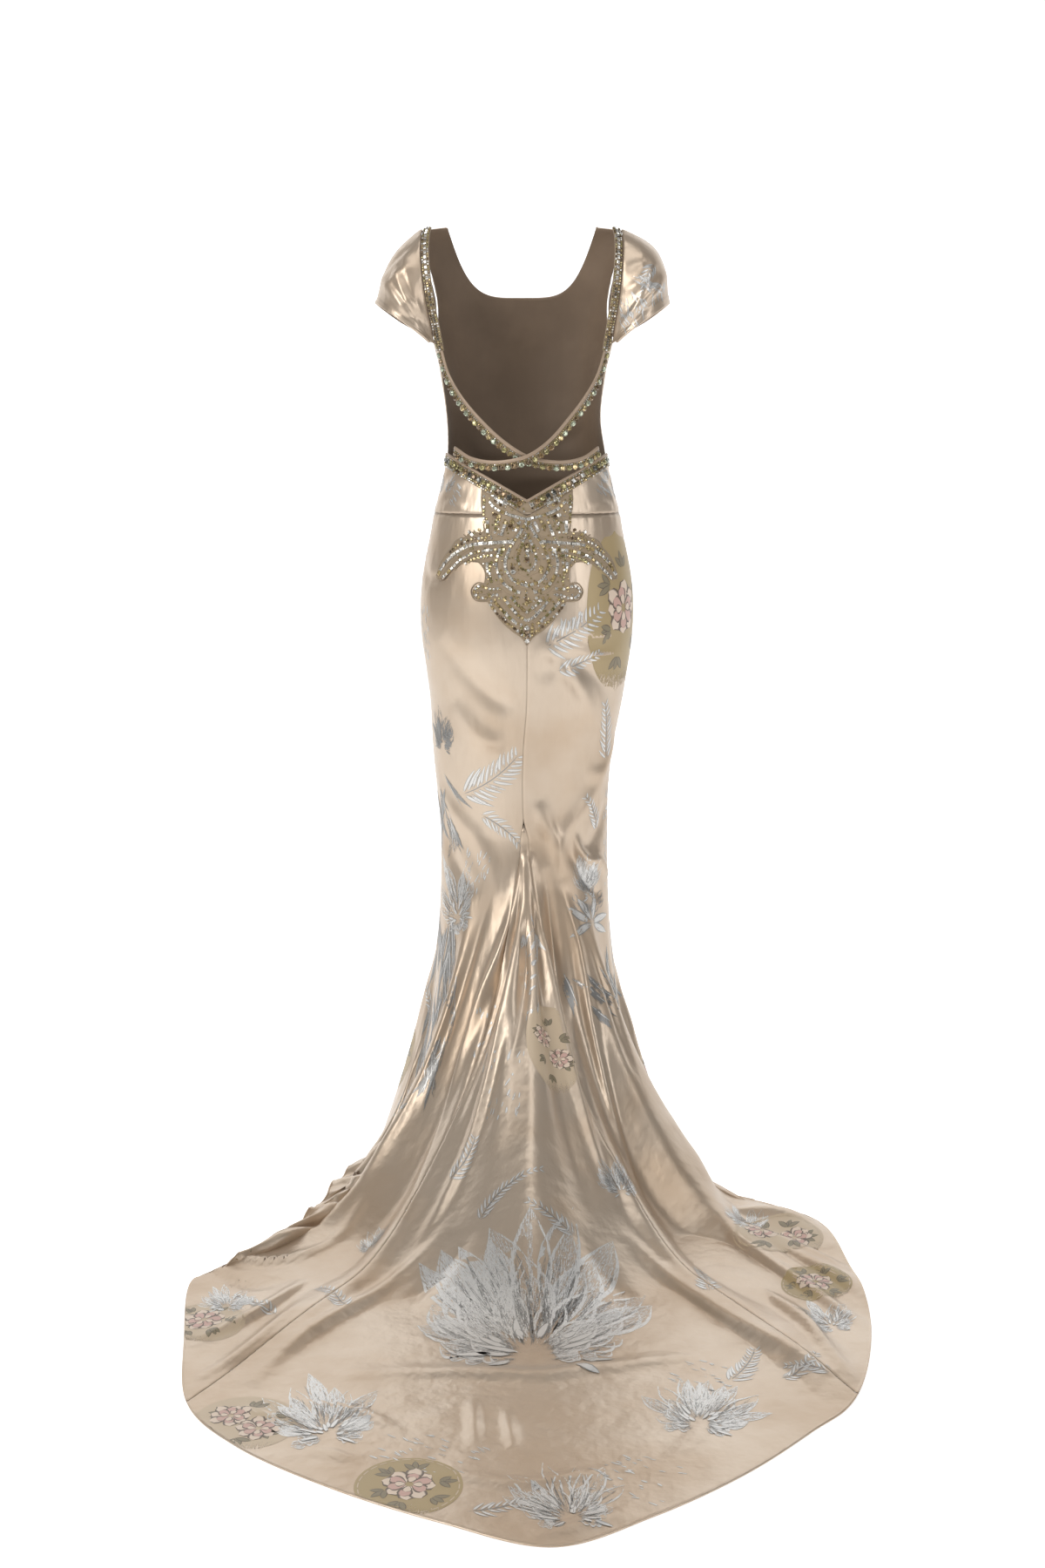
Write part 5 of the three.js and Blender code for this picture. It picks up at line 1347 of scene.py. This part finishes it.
def sew_row(tray, row, picked, across, lift, shape, size, tints):
    """Stones at the picked places of a row, moved across and out by mm."""
    spots, (o, a, d) = row
    o, d = o[picked], d[picked]
    tray.add(shape, spots[picked] + d * across + o * lift, o, a[picked], size,
             tray.rng.choice(tints, len(d)))


def bound_edge(half, high):
    """Profile of a folded binding: a flat oval, 16 points."""
    turn = np.linspace(0, 2 * np.pi, 16, endpoint=False)
    return np.stack([half * np.cos(turn), high / 2 + high / 2 * np.sin(turn)], -1)


def back_outward(at):
    """Outward direction of the form's back half ellipse."""
    ring = read(BODY, at[:, 2])
    return unit(np.stack([(at[:, 0] - ring[:, 3]) / ring[:, 0]**2, at[:, 1] / ring[:, 1]**2,
                          0 * at[:, 0]], -1))


def strap_frames(side):
    """The strap's path: the right one passes 8.4 mm over the left one where they cross."""
    over = 8.4 if side > 0 else 0.0

    def path(share):
        row = read(STRAP_PATH, share)
        lift = over * bell(row[..., 0], 3, 44)
        return back_point(side * row[..., 0], row[..., 1], row[..., 2] + lift)

    return frames(path, lambda at, _: back_outward(at), 150)


def sew_strap(side):
    """A bound strap with oval drops and small stones along its lower edge."""
    name = "left" if side < 0 else "right"
    rng = np.random.default_rng(11 + side)
    at, along, out, across = strap_frames(side)
    lower = across * side
    ground = band(f"strap_{name}_ground", at, lower, out,
                  [(-8, 0.1), (6.4, 0.1), (6.4, 1.2), (-8, 1.2)][::-side], finish("ecru"))
    edge = bound_edge(2.9, 2.6) + [-5.4, 0.1]
    binding = band(f"strap_{name}_binding", at, lower, out, edge[::side], finish("binding"))
    tray = StoneTray(rng)
    row = along_path(at, (out, along, lower), 10.5, 5.0)
    kind = np.arange(len(row[0])) % 2
    sew_row(tray, row, kind == 0, 4.3, 1.2, "oval", (5.0, 4.2, 3.6), (CELADON, GREEN_GOLD, CELADON))
    sew_row(tray, row, kind == 1, 4.3, 1.2, "round", (4.1, 4.1, 3.6), (AMBER, GOLD, BROWN))
    spots, (o, a, d) = along_path(at, (out, along, lower), 3.4, 2.0)
    for offset, size, pick in ((-1.2, 1.25, (GOLD, CRYSTAL, GREEN_GOLD)),
                               (1.1, 1.1, (GOLD, BROWN, GREEN_GOLD))):
        tray.add("seed", spots + d * (offset + rng.uniform(-0.4, 0.4, (len(spots), 1))) + o * 1.2, o, a,
                 (size, size, 1.9), rng.choice(pick, len(spots)))
    tray.piece(f"strap_{name}_stones")
    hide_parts(f"strap_{name}")


def sew_strip(side):
    """The shoulder strip: three rows of small stones, with larger mirror squares near the shoulder."""
    name = "left" if side < 0 else "right"
    rng = np.random.default_rng(31 + side)
    at, along, out, across = frames(lambda s: strip_point(side, s), lambda _, s: strip_outward(side, s), 90)
    ground = band(f"back_strip_{name}_ground", at, across, out,
                  [(-6.4, 0.1), (6.4, 0.1), (6.4, 1.3), (-6.4, 1.3)][::-1], finish("ecru"))
    tray = StoneTray(rng)
    row = along_path(at, (out, along, across), 4.1, 2.2)
    spots, (o, a, _) = row
    share = np.linspace(0, 1, len(spots))
    big = (share < 0.5) & (np.arange(len(spots)) % 2 == 0)
    tray.add("square", spots[big] + o[big] * 1.3, o[big], a[big], (2.9, 2.5, 2.4), CRYSTAL)
    mid = ~big & (share >= 0.5)
    sew_row(tray, row, mid, 0, 1.3, "square", (1.4, 1.8, 2.2), (CRYSTAL, GOLD, SMOKE))
    for offset in (-4.4, 4.4):
        sew_row(tray, row, share >= 0, offset, 1.3, "round", (1.6, 1.5, 2.1),
                (GOLD, CRYSTAL, BROWN, GREEN_GOLD))
    tray.piece(f"back_strip_{name}_stones")
    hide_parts(f"back_strip_{name}")


def on_form(x, height, lift):
    """Place and outward direction on the back of the form, for x from the middle and a height."""
    ring = read(BODY, height)
    turn = np.degrees(np.arcsin(np.clip((x - ring[..., 3]) / ring[..., 0], -0.999, 0.999)))
    at = body_point(turn, height)
    out = outward(body_point, turn, height, 0.4, -2.0)
    return at + out * np.asarray(lift)[..., None], out


def lay_row(tray, points, spacing, shape, size, tints, lift):
    """A row of stones along a flat path laid on the form, and its mirror image, 0.3 mm out of line."""
    rng = tray.rng
    line = flat_path(points)
    run = run_length(line)
    where = np.arange(spacing / 2, run[-1], spacing)
    x, h = np.interp(where, run, line[:, 0]), np.interp(where, run, line[:, 1])
    dx, dh = np.interp(where + 1, run, line[:, 0]) - x, np.interp(where + 1, run, line[:, 1]) - h
    for side in (1, -1):
        px = side * x + rng.uniform(-0.3, 0.3, len(x))
        at, out = on_form(px, h, lift + 0 * x)
        ahead, _ = on_form(px + side * dx, h + dh, lift + 0 * x)
        grow = rng.uniform(0.88, 1.1, (len(x), 1))
        tray.add(shape, at, out, ahead - at + 1e-6, np.array(size) * grow, rng.choice(tints, len(x)))


def sew_waist_band():
    """The beaded band on the waist edge: binding, one row of large stones between rows of small ones."""
    rng = np.random.default_rng(5)
    labels = np.linspace(-84, 84, 200)
    at, out = (f for f in yoke_band(labels, 0.4))
    along = unit(np.gradient(at, axis=0))
    out = unit(square_to(out, along))
    down = np.cross(along, out)
    down = down * np.sign(-down[:, 2:3])
    order = -1 if np.cross(along, out)[100, 2] > 0 else 1
    ground = band("waist_band_ground", at, down, out, [(0.5, 0.3), (21, 0.3), (21, 1.4), (0.5, 1.4)][::order],
                  finish("ecru"))
    binding = band("waist_band_binding", at, down, out, (bound_edge(2.4, 2.8) + [1.6, 0.2])[::-order],
                   finish("binding"))
    tray = StoneTray(rng)
    row = along_path(at, (out, along, down), 9.6, 3.0)
    kind = rng.integers(0, 3, len(row[0]))
    for flag, shape, size, tints in ((0, "round", (4.4, 4.4, 3.4), (AMBER, SMOKE, BROWN)),
                                     (1, "oval", (4.9, 4.0, 3.4), (GREEN_GOLD, CELADON, GREEN_GOLD)),
                                     (2, "square", (3.5, 3.5, 3.2), (GREEN_GOLD, CRYSTAL, SMOKE))):
        sew_row(tray, row, kind == flag, 10.2, 1.4, shape, size, tints)
    for offset, spacing, shape, size, tints in (
            (5.0, 3.1, "seed", (1.3, 1.3, 2.0), (GOLD, CRYSTAL, GREEN_GOLD)),
            (15.6, 3.6, "round", (1.7, 1.7, 2.3), (GOLD, CRYSTAL, GREEN_GOLD, BROWN)),
            (19.0, 4.2, "square", (1.5, 1.3, 2.0), (CRYSTAL, GOLD, CRYSTAL))):
        spots, (o, a, d) = along_path(at, (out, along, down), spacing, 1.0)
        jitter = rng.uniform(-0.5, 0.5, (len(spots), 1))
        tray.add(shape, spots + d * (offset + jitter) + o * 1.4, o, a, size, rng.choice(tints, len(spots)))
    tray.piece("waist_band_stones")
    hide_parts("waist_band")


def yoke_band(labels, lift):
    """The waist edge of the yoke, moved out of its cloth."""
    at = yoke_point(labels, 0 * labels)
    out = outward(yoke_point, labels, 0.02 + 0 * labels, 0.4, 0.01)
    return at + out * (1.2 + lift), out


# Outline of the applique, right half: the bend and the end of each curve, x and height.
APPLIQUE = [
    (None, (70, 1100.2)), ((74, 1062), (62, 1052)), ((60, 1040), (72, 1034)), ((88, 1040), (94, 1028)),
    ((112, 1026), (118, 1010)), ((138, 992), (141, 962)), ((133, 958), (128, 966)), ((104, 996), (76, 990)),
    ((60, 978), (66, 958)), ((88, 952), (84, 938)), ((76, 928), (62, 932)), ((46, 900), (20, 882)),
    ((8, 876), (0, 862)),
]


def applique_outline(steps=5):
    """The outline's right half on quadratic curves, (1-t)^2 a + 2 t (1-t) bend + t^2 b, then mirrored."""
    points, last = [], np.array([0.0, 1059.6])
    for bend, end in APPLIQUE:
        end = np.array(end, float)
        bend = np.array(bend if bend else (last + end) / 2, float)
        t = np.linspace(0, 1, steps + 1)[1:, None]
        points.append((1 - t)**2 * last + 2 * t * (1 - t) * bend + t**2 * end)
        last = end
    half = np.concatenate([[[0.0, 1059.6]], *points])
    return np.concatenate([half, (half * [-1, 1])[-2:0:-1]])


def sew_applique():
    """The applique's ground cut to its outline and laid on yoke and skirt, with rows of stones."""
    rng = np.random.default_rng(3)
    outline = applique_outline()
    gx, gh = np.meshgrid(np.arange(-140, 141, 5.0), np.arange(864, 1100, 5.0))
    inside = [Vector(p) for p in np.stack([gx.ravel(), gh.ravel()], -1)]
    edge = [Vector(p) for p in outline]
    count = len(edge)
    flat, _, faces, *_ = delaunay_2d_cdt(edge + inside, [], [list(range(count))], 1, 0.01)
    flat, faces = np.array([tuple(v) for v in flat]), np.array([f for f in faces if len(f) == 3])
    at, out = on_form(flat[:, 0], flat[:, 1], 1.45 + 0 * flat[:, 0])
    a, b, c = at[faces[:, 0]], at[faces[:, 1]], at[faces[:, 2]]
    wrong = (np.cross(b - a, c - a) * out[faces[:, 0]]).sum(-1) < 0
    faces[wrong] = faces[wrong][:, ::-1]
    ground = build("applique_ground", at, faces, [finish("ecru")], {"cloth": flat / 1000})
    wall = ground.modifiers.new("wall", "SOLIDIFY")
    wall.thickness, wall.offset = 0.0008, 1.0
    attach(ground, "root")
    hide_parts("applique")
    tray = StoneTray(rng)
    lift = 2.2
    for points, spacing, (shape, size), tints in APPLIQUE_ROWS:
        lay_row(tray, points, spacing, shape, size, tints, lift)
    spots = rng.uniform((-132, 868), (132, 1088), (900, 2))
    spots = spots[inside_outline(spots, outline * 0.97 + [0, 28.8])]
    at, out = on_form(spots[:, 0], spots[:, 1], lift + 0 * spots[:, 0])
    tray.add("seed", at, out, np.cross(out, [0, 0, 1.0]), (1.5, 1.5, 1.9),
             rng.choice((GOLD, CRYSTAL, GREEN_GOLD), len(spots)))
    tray.piece("applique_stones")
    half = outline[: len(outline) // 2 + 1]
    sew_cords("applique_cords", [*CORDS, half * 0.985 + [0, 14.4]], 0.9, lift - 0.2)


def inside_outline(spots, outline):
    """Even-odd test: a ray to the right from each spot crosses the outline an odd number of times."""
    a, b = outline, np.roll(outline, -1, 0)
    x, y = spots[:, 0, None], spots[:, 1, None]
    spans = (a[:, 1] > y) != (b[:, 1] > y)
    rise = np.where(np.abs(b[:, 1] - a[:, 1]) < 1e-6, 1e-6, b[:, 1] - a[:, 1])
    cross = a[:, 0] + (y - a[:, 1]) * (b[:, 0] - a[:, 0]) / rise
    return (spans & (x < cross)).sum(1) % 2 == 1


def sew_cords(name, paths, half, lift):
    """Couched cords: tubes of six corners along flat paths on the form, and their mirror images."""
    turn = np.linspace(0, 2 * np.pi, 6, endpoint=False)
    points, faces, start = [], [], 0
    for line in paths:
        line = flat_path(line, 16 * len(line)) if len(line) < 12 else np.asarray(line, float)
        for side in (1, -1):
            at, out = on_form(side * line[:, 0], line[:, 1], lift + 0 * line[:, 0])
            along = unit(np.gradient(at, axis=0))
            across = np.cross(out, along)
            ring = (at[:, None] + half * (across[:, None] * np.cos(turn)[None, :, None]
                                          + out[:, None] * np.sin(turn)[None, :, None]))
            count = len(at)
            first = np.array([[3, 2, 1, 0], [5, 4, 3, 0]])
            last = (count - 1) * 6 + np.array([[0, 1, 2, 3], [0, 3, 4, 5]])
            points.append(ring.reshape(-1, 3))
            faces += [tube_faces(count, 6) + start, first + start, last + start]
            start += count * 6
    flat = np.concatenate(points)
    made = build(name, flat, np.concatenate(faces), [finish("ecru")], {"cloth": flat[:, [0, 2]] / 1000})
    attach(made, "root")


CLEAR, WARM, MIXED = (CRYSTAL, CRYSTAL, CRYSTAL, GOLD), (GOLD, CRYSTAL, GREEN_GOLD), (CRYSTAL, GOLD, BROWN)
# Stones of the applique: shape, and half length, half width and height in mm.
BAGUETTE, CHIP = ("square", (3.9, 2.9, 2.9)), ("square", (3.1, 2.5, 2.6))
BEAD, SEED, DROP = ("round", (2.5, 2.5, 2.5)), ("seed", (2.5, 2.5, 2.5)), ("round", (3.8, 3.8, 3.1))
BROOCH = ("square", (9.5, 6.0, 3.2))
# Rows of the applique, right half: path, spacing, stone and tints.
APPLIQUE_ROWS = [
    ([(22, 1021), (54, 1019), (86, 1015), (110, 1002), (128, 984), (139, 964)], 7.6, BAGUETTE, CLEAR),
    ([(32, 1009), (56, 1008), (82, 1003), (102, 992), (118, 976), (130, 964)], 6.4, CHIP, CLEAR),
    ([(46, 1000), (62, 999), (82, 994), (98, 985)], 5.4, BEAD, WARM),
    ([(60, 1027), (84, 1024), (106, 1014), (120, 1002)], 5.6, BEAD, MIXED),
    ([(40, 1030), (32, 1052)], 6.2, CHIP, CLEAR), ([(50, 1032), (46, 1054)], 6.2, BEAD, WARM),
    ([(60, 1034), (60, 1054)], 6.4, BAGUETTE, CLEAR), ([(70, 1031), (74, 1040)], 5.6, BEAD, MIXED),
    ([(82, 1029), (90, 1036)], 6.0, CHIP, CLEAR), ([(98, 1022), (106, 1026)], 6.0, BEAD, MIXED),
    ([(18, 1036), (10, 1054)], 6.0, CHIP, CLEAR), ([(27, 1040), (20, 1056)], 8.0, DROP, MIXED),
    ([(0, 1052), (12, 1033), (28, 1007), (33, 984), (22, 963), (0, 954)], 6.0, CHIP, CLEAR),
    ([(0, 1034), (8, 1016), (14, 998), (10, 982), (0, 977)], 5.2, BEAD, WARM),
    ([(0, 1019), (0, 990)], 7.4, DROP, MIXED),
    ([(42, 1008), (47, 988), (42, 968), (28, 951), (8, 943)], 6.4, CHIP, CLEAR),
    ([(38, 1014), (40, 996)], 5.2, SEED, WARM), ([(54, 992), (57, 974), (54, 958)], 5.8, BEAD, WARM),
    ([(22, 984), (21, 973)], 6.0, DROP, MIXED), ([(62, 990), (60, 975)], 5.8, CHIP, CLEAR),
    ([(42, 950), (57, 949), (72, 953), (81, 946), (77, 937), (64, 935), (52, 940), (42, 940)],
     5.9, BEAD, CLEAR),
    ([(36, 936), (25, 922), (12, 908), (0, 901)], 6.4, CHIP, CLEAR),
    ([(58, 927), (45, 911), (30, 897), (14, 885), (2, 876)], 5.8, BEAD, MIXED),
    ([(50, 930), (38, 917), (26, 905), (14, 895)], 6.2, CHIP, WARM),
    ([(26, 938), (15, 926), (0, 914)], 5.4, BEAD, WARM), ([(0, 938), (0, 924)], 7.0, DROP, MIXED),
    ([(12, 938), (20, 930)], 6.4, BEAD, CLEAR), ([(0, 893), (0, 868)], 6.6, DROP, MIXED),
    ([(9, 898), (7, 878)], 5.4, SEED, WARM), ([(46, 934), (56, 930)], 6.0, BEAD, MIXED),
    ([(0, 1055), (24, 1061), (46, 1070), (60, 1084)], 6.0, CHIP, CLEAR),
    ([(58, 1066), (66, 1076)], 30.0, BROOCH, (CRYSTAL, CRYSTAL)),
    ([(30, 1078), (44, 1084), (56, 1094)], 5.8, CHIP, CLEAR), ([(66, 1048), (66, 1092)], 5.6, BEAD, WARM),
    ([(38, 1075), (52, 1085)], 5.4, BEAD, MIXED), ([(40, 1058), (52, 1062)], 6.4, DROP, MIXED),
]
# Couched cords between the rows, right half: x and height along each.
CORDS = [
    [(14, 1029), (52, 1028), (86, 1023), (113, 1010), (132, 990), (141, 966)],
    [(24, 1014), (54, 1014), (84, 1009), (106, 997), (124, 978), (133, 964)],
    [(40, 1004), (62, 1003), (82, 998), (100, 988), (112, 976)],
    [(0, 1060), (16, 1036), (34, 1008), (39, 984), (27, 957), (0, 948)],
    [(0, 1043), (11, 1020), (20, 1000), (17, 977), (0, 968)], [(0, 1026), (5, 1010), (8, 994), (0, 984)],
    [(48, 1012), (53, 988), (48, 964), (32, 945), (10, 937)], [(36, 1028), (26, 1054)],
    [(45, 1030), (39, 1056)], [(55, 1032), (53, 1056)], [(65, 1032), (67, 1048)], [(76, 1030), (82, 1038)],
    [(90, 1026), (98, 1031)], [(14, 1036), (4, 1056)],
    [(38, 945), (56, 943), (68, 946), (73, 944), (66, 941), (52, 945), (38, 945)],
    [(38, 956), (58, 955), (76, 958), (86, 946), (80, 932), (62, 930), (44, 934)],
    [(40, 931), (30, 919), (14, 903), (0, 895)], [(31, 942), (20, 928), (8, 915), (0, 908)],
    [(54, 924), (42, 910), (26, 894), (10, 882)],
]


# Sizes, colours and operators

class GownSizes(bpy.types.PropertyGroup):
    """Sizes of the gown's cloth and of its stage."""

    cloth: FloatProperty(name="Cloth", description="Thickness of the satin", default=0.0012, min=0.0006,
                         max=0.002, unit="LENGTH")
    floor: FloatProperty(name="Floor gap", description="Floor below the lowest cloth", default=0.0006,
                         min=0.0, unit="LENGTH")
    key: FloatProperty(name="Key light", description="Power of the large light on the left", default=80.0,
                       min=0.0, unit="POWER")


def swatch(name, description, default):
    """A colour that the sidebar shows."""
    return FloatVectorProperty(name=name, description=description, subtype="COLOR", default=default)


class GownColours(bpy.types.PropertyGroup):
    """Colours of the satin, the woven figures and the grounds of the beadwork."""

    satin: swatch("Satin", "Champagne satin", (0.64, 0.53, 0.42))
    satin_deep: swatch("Satin, deeper", "Satin where it is handled", (0.57, 0.44, 0.32))
    # dark brown: painted shade of the gown's inside, on the satin's matt inner side
    reverse: swatch("Reverse", "Matt inner side of the satin", (0.2, 0.135, 0.085))
    binding: swatch("Binding", "Bound edges of the straps", (0.42, 0.31, 0.22))
    ecru: swatch("Ecru", "Ground under the beadwork", (0.35, 0.265, 0.175))
    silver: swatch("Silver", "Metal thread of the figures", (0.74, 0.73, 0.71))
    petal: swatch("Petal", "Outer petals", (0.76, 0.62, 0.5))
    pink: swatch("Pink", "Inner petals", (0.62, 0.4, 0.34))
    cream: swatch("Cream", "Pale medallions", (0.6, 0.48, 0.34))
    olive: swatch("Olive", "Golden medallions", (0.44, 0.335, 0.18))
    leaf: swatch("Leaf", "Leaves in the medallions", (0.27, 0.23, 0.15))
    ink: swatch("Outline", "Outlines in the medallions", (0.16, 0.12, 0.09))


class GOWN_OT_skirt(bpy.types.Operator):
    """Cut the four skirt panels with their folds, seams and hem, and weave their figures."""

    bl_idname = "gown.skirt"
    bl_label = "Skirt and train"

    def execute(self, context):
        figures = [(draw, *row) for draw, rows in FIGURES.items() for row in rows]
        batches = figure_strokes(figures, table_slope)
        for name in SKIRT:
            sew_panel(name, batches)
        return {"FINISHED"}


NECK = 11 / 36  # the neckline's reach to each side, as a share of the bodice's width


class GOWN_OT_bodice(bpy.types.Operator):
    """Cut the yoke and the bodice front, with the neck binding."""

    bl_idname = "gown.bodice"
    bl_label = "Yoke and bodice"

    def execute(self, context):
        for name, hangs_from in (("yoke_back", "bodice_front"), ("bodice_front", "back_strip_left")):
            sew_panel(name, figure_strokes(SMALL_FIGURES[name], panel_slope(name)))
        grid = cut("bodice_front")
        neckline = np.linspace(0.5 - NECK, 0.5 + NECK, 160)
        middle = np.unique(np.interp(neckline, grid["shares"], np.arange(len(grid["shares"]))).astype(int))
        at, out = grid["outer"][0, middle], grid["normal"][0, middle]
        down = unit(grid["outer"][3, middle] - at)
        edge = band("neck_binding_fold", at + out * 0.2, down, out, (bound_edge(3.4, 1.8) + [3.0, 0.1])[::-1],
                    finish("binding"))
        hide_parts("neck_binding")
        return {"FINISHED"}


class GOWN_OT_sleeves(bpy.types.Operator):
    """Cut both cap sleeves with their turned hems."""

    bl_idname = "gown.sleeves"
    bl_label = "Cap sleeves"

    def execute(self, context):
        for name in ("sleeve_left", "sleeve_right"):
            figures = figure_strokes(SMALL_FIGURES.get(name, ()), panel_slope(name))
            sew_panel(name, figures)
        return {"FINISHED"}


class GOWN_OT_straps(bpy.types.Operator):
    """Sew the shoulder strips and the crossed straps, with their stones."""

    bl_idname = "gown.straps"
    bl_label = "Strips and straps"

    def execute(self, context):
        for side in (-1, 1):
            sew_strip(side)
            sew_strap(side)
        return {"FINISHED"}


class GOWN_OT_beadwork(bpy.types.Operator):
    """Sew the beaded waist band and the applique below it."""

    bl_idname = "gown.beadwork"
    bl_label = "Waist band and applique"

    def execute(self, context):
        sew_waist_band()
        sew_applique()
        return {"FINISHED"}


WALL, CURVE = 5.0, 1.6  # the backdrop's distance, and the radius of its curve from the floor, m
# The photograph's frame: its height, focal length and the horizon's height over its middle, in pixels.
FRAME, FOCAL, HORIZON = 1800, 2204, 375
SENSOR = 36  # mm


class GOWN_OT_stage(bpy.types.Operator):
    """Set up the pale floor and backdrop, the soft studio lights and the camera."""

    bl_idname = "gown.stage"
    bl_label = "Stage"

    def execute(self, context):
        scene = context.scene
        sizes = scene.gown_sizes
        bend = [(WALL - CURVE + CURVE * np.sin(a), CURVE - CURVE * np.cos(a))
                for a in np.linspace(0.1, 1.57, 12)]
        run = np.concatenate([[(-7.0, 0.0), (WALL - CURVE, 0.0)], bend, [(WALL, 7.0)]])
        across = np.linspace(-8, 8, 3)
        points = np.stack(np.broadcast_arrays(across[None, :], run[:, :1], run[:, 1:]), -1)
        points = points * 1000 + [0, 0, -sizes.floor * 1000]
        floor = build("floor", points, grid_faces(len(run), 3)[:, ::-1], [stage_material()])
        for name, place, aim, size, power, tint in (
                ("key", (-2.6, -2.6, 1.4), (0, -0.2, -0.7), (1.9, 2.6), 1.0, (1, 0.985, 0.965)),
                ("fill", (2.9, -2.4, 0.6), (0, -0.2, -0.8), (1.5, 2.4), 0.36, (0.99, 0.99, 1)),
                ("top", (0.2, -1.2, 2.4), (0, -0.6, -1.5), (2.4, 2.0), 0.3, (1, 1, 1)),
                ("rim", (0.0, 2.6, 1.2), (0, 0, -0.6), (3.2, 1.6), 0.06, (1, 1, 1))):
            lamp = bpy.data.lights.new(name, "AREA")
            lamp.shape, lamp.size, lamp.size_y = "RECTANGLE", *size
            lamp.energy, lamp.color = sizes.key * power, tint
            light = bpy.data.objects.new(name, lamp)
            light.location = place
            light.rotation_euler = (Vector(aim) - Vector(place)).to_track_quat("-Z", "Y").to_euler()
            scene.collection.objects.link(light)
        world = bpy.data.worlds.new("studio")
        world.use_nodes = True
        sky = world.node_tree.nodes["Background"].inputs
        sky["Color"].default_value, sky["Strength"].default_value = (1.0, 0.985, 0.96, 1), 0.13
        scene.world = world
        scene.view_settings.view_transform = "Standard"
        lens = bpy.data.cameras.new("camera")
        lens.sensor_fit, lens.sensor_height, lens.lens = "VERTICAL", SENSOR, SENSOR * FOCAL / FRAME
        camera = bpy.data.objects.new("camera", lens)
        camera.location = (-0.007, -3.1, -0.35)
        camera.rotation_euler = (np.arctan2(FOCAL, HORIZON), 0, 0)
        scene.collection.objects.link(camera)
        scene.camera = camera
        return {"FINISHED"}


def stage_material():
    """Pale floor with a faint cloudiness, and a glow of its own that keeps it white in the picture."""
    material, tree, main = new_material("pale_floor", Specular_IOR_Level=0.3, Roughness=0.8,
                                        Emission_Color=(1, 1, 1, 1), Emission_Strength=0.7)
    place = node(tree, "TexCoord").outputs["Object"]
    link(tree, blend(tree, noise(tree, place, 2.5), (0.86, 0.86, 0.86, 1), (0.9, 0.9, 0.9, 1)),
         main.inputs["Base Color"])
    return material


class GOWN_PT_pieces(bpy.types.Panel):
    """Pieces, sizes and colours of the gown."""

    bl_idname = "GOWN_PT_pieces"
    bl_label = "Evening gown"
    bl_space_type = "VIEW_3D"
    bl_region_type = "UI"
    bl_category = "Gown"

    def draw(self, context):
        for operator in OPERATORS:
            self.layout.operator(operator.bl_idname)
        for group in (context.scene.gown_sizes, context.scene.gown_colours):
            for name in group.__annotations__:
                self.layout.prop(group, name)


OPERATORS = (GOWN_OT_stage, GOWN_OT_skirt, GOWN_OT_bodice, GOWN_OT_sleeves, GOWN_OT_straps, GOWN_OT_beadwork)
CLASSES = (GownSizes, GownColours, *OPERATORS, GOWN_PT_pieces)


def register():
    for made in CLASSES:
        bpy.utils.register_class(made)
    bpy.types.Scene.gown_sizes = PointerProperty(type=GownSizes)
    bpy.types.Scene.gown_colours = PointerProperty(type=GownColours)


def unregister():
    del bpy.types.Scene.gown_sizes, bpy.types.Scene.gown_colours
    for made in reversed(CLASSES):
        bpy.utils.unregister_class(made)


def main():
    register()
    for operator in OPERATORS:
        getattr(bpy.ops.gown, operator.bl_idname.split(".")[1])()
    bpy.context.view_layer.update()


if __name__ == "__main__":
    main()
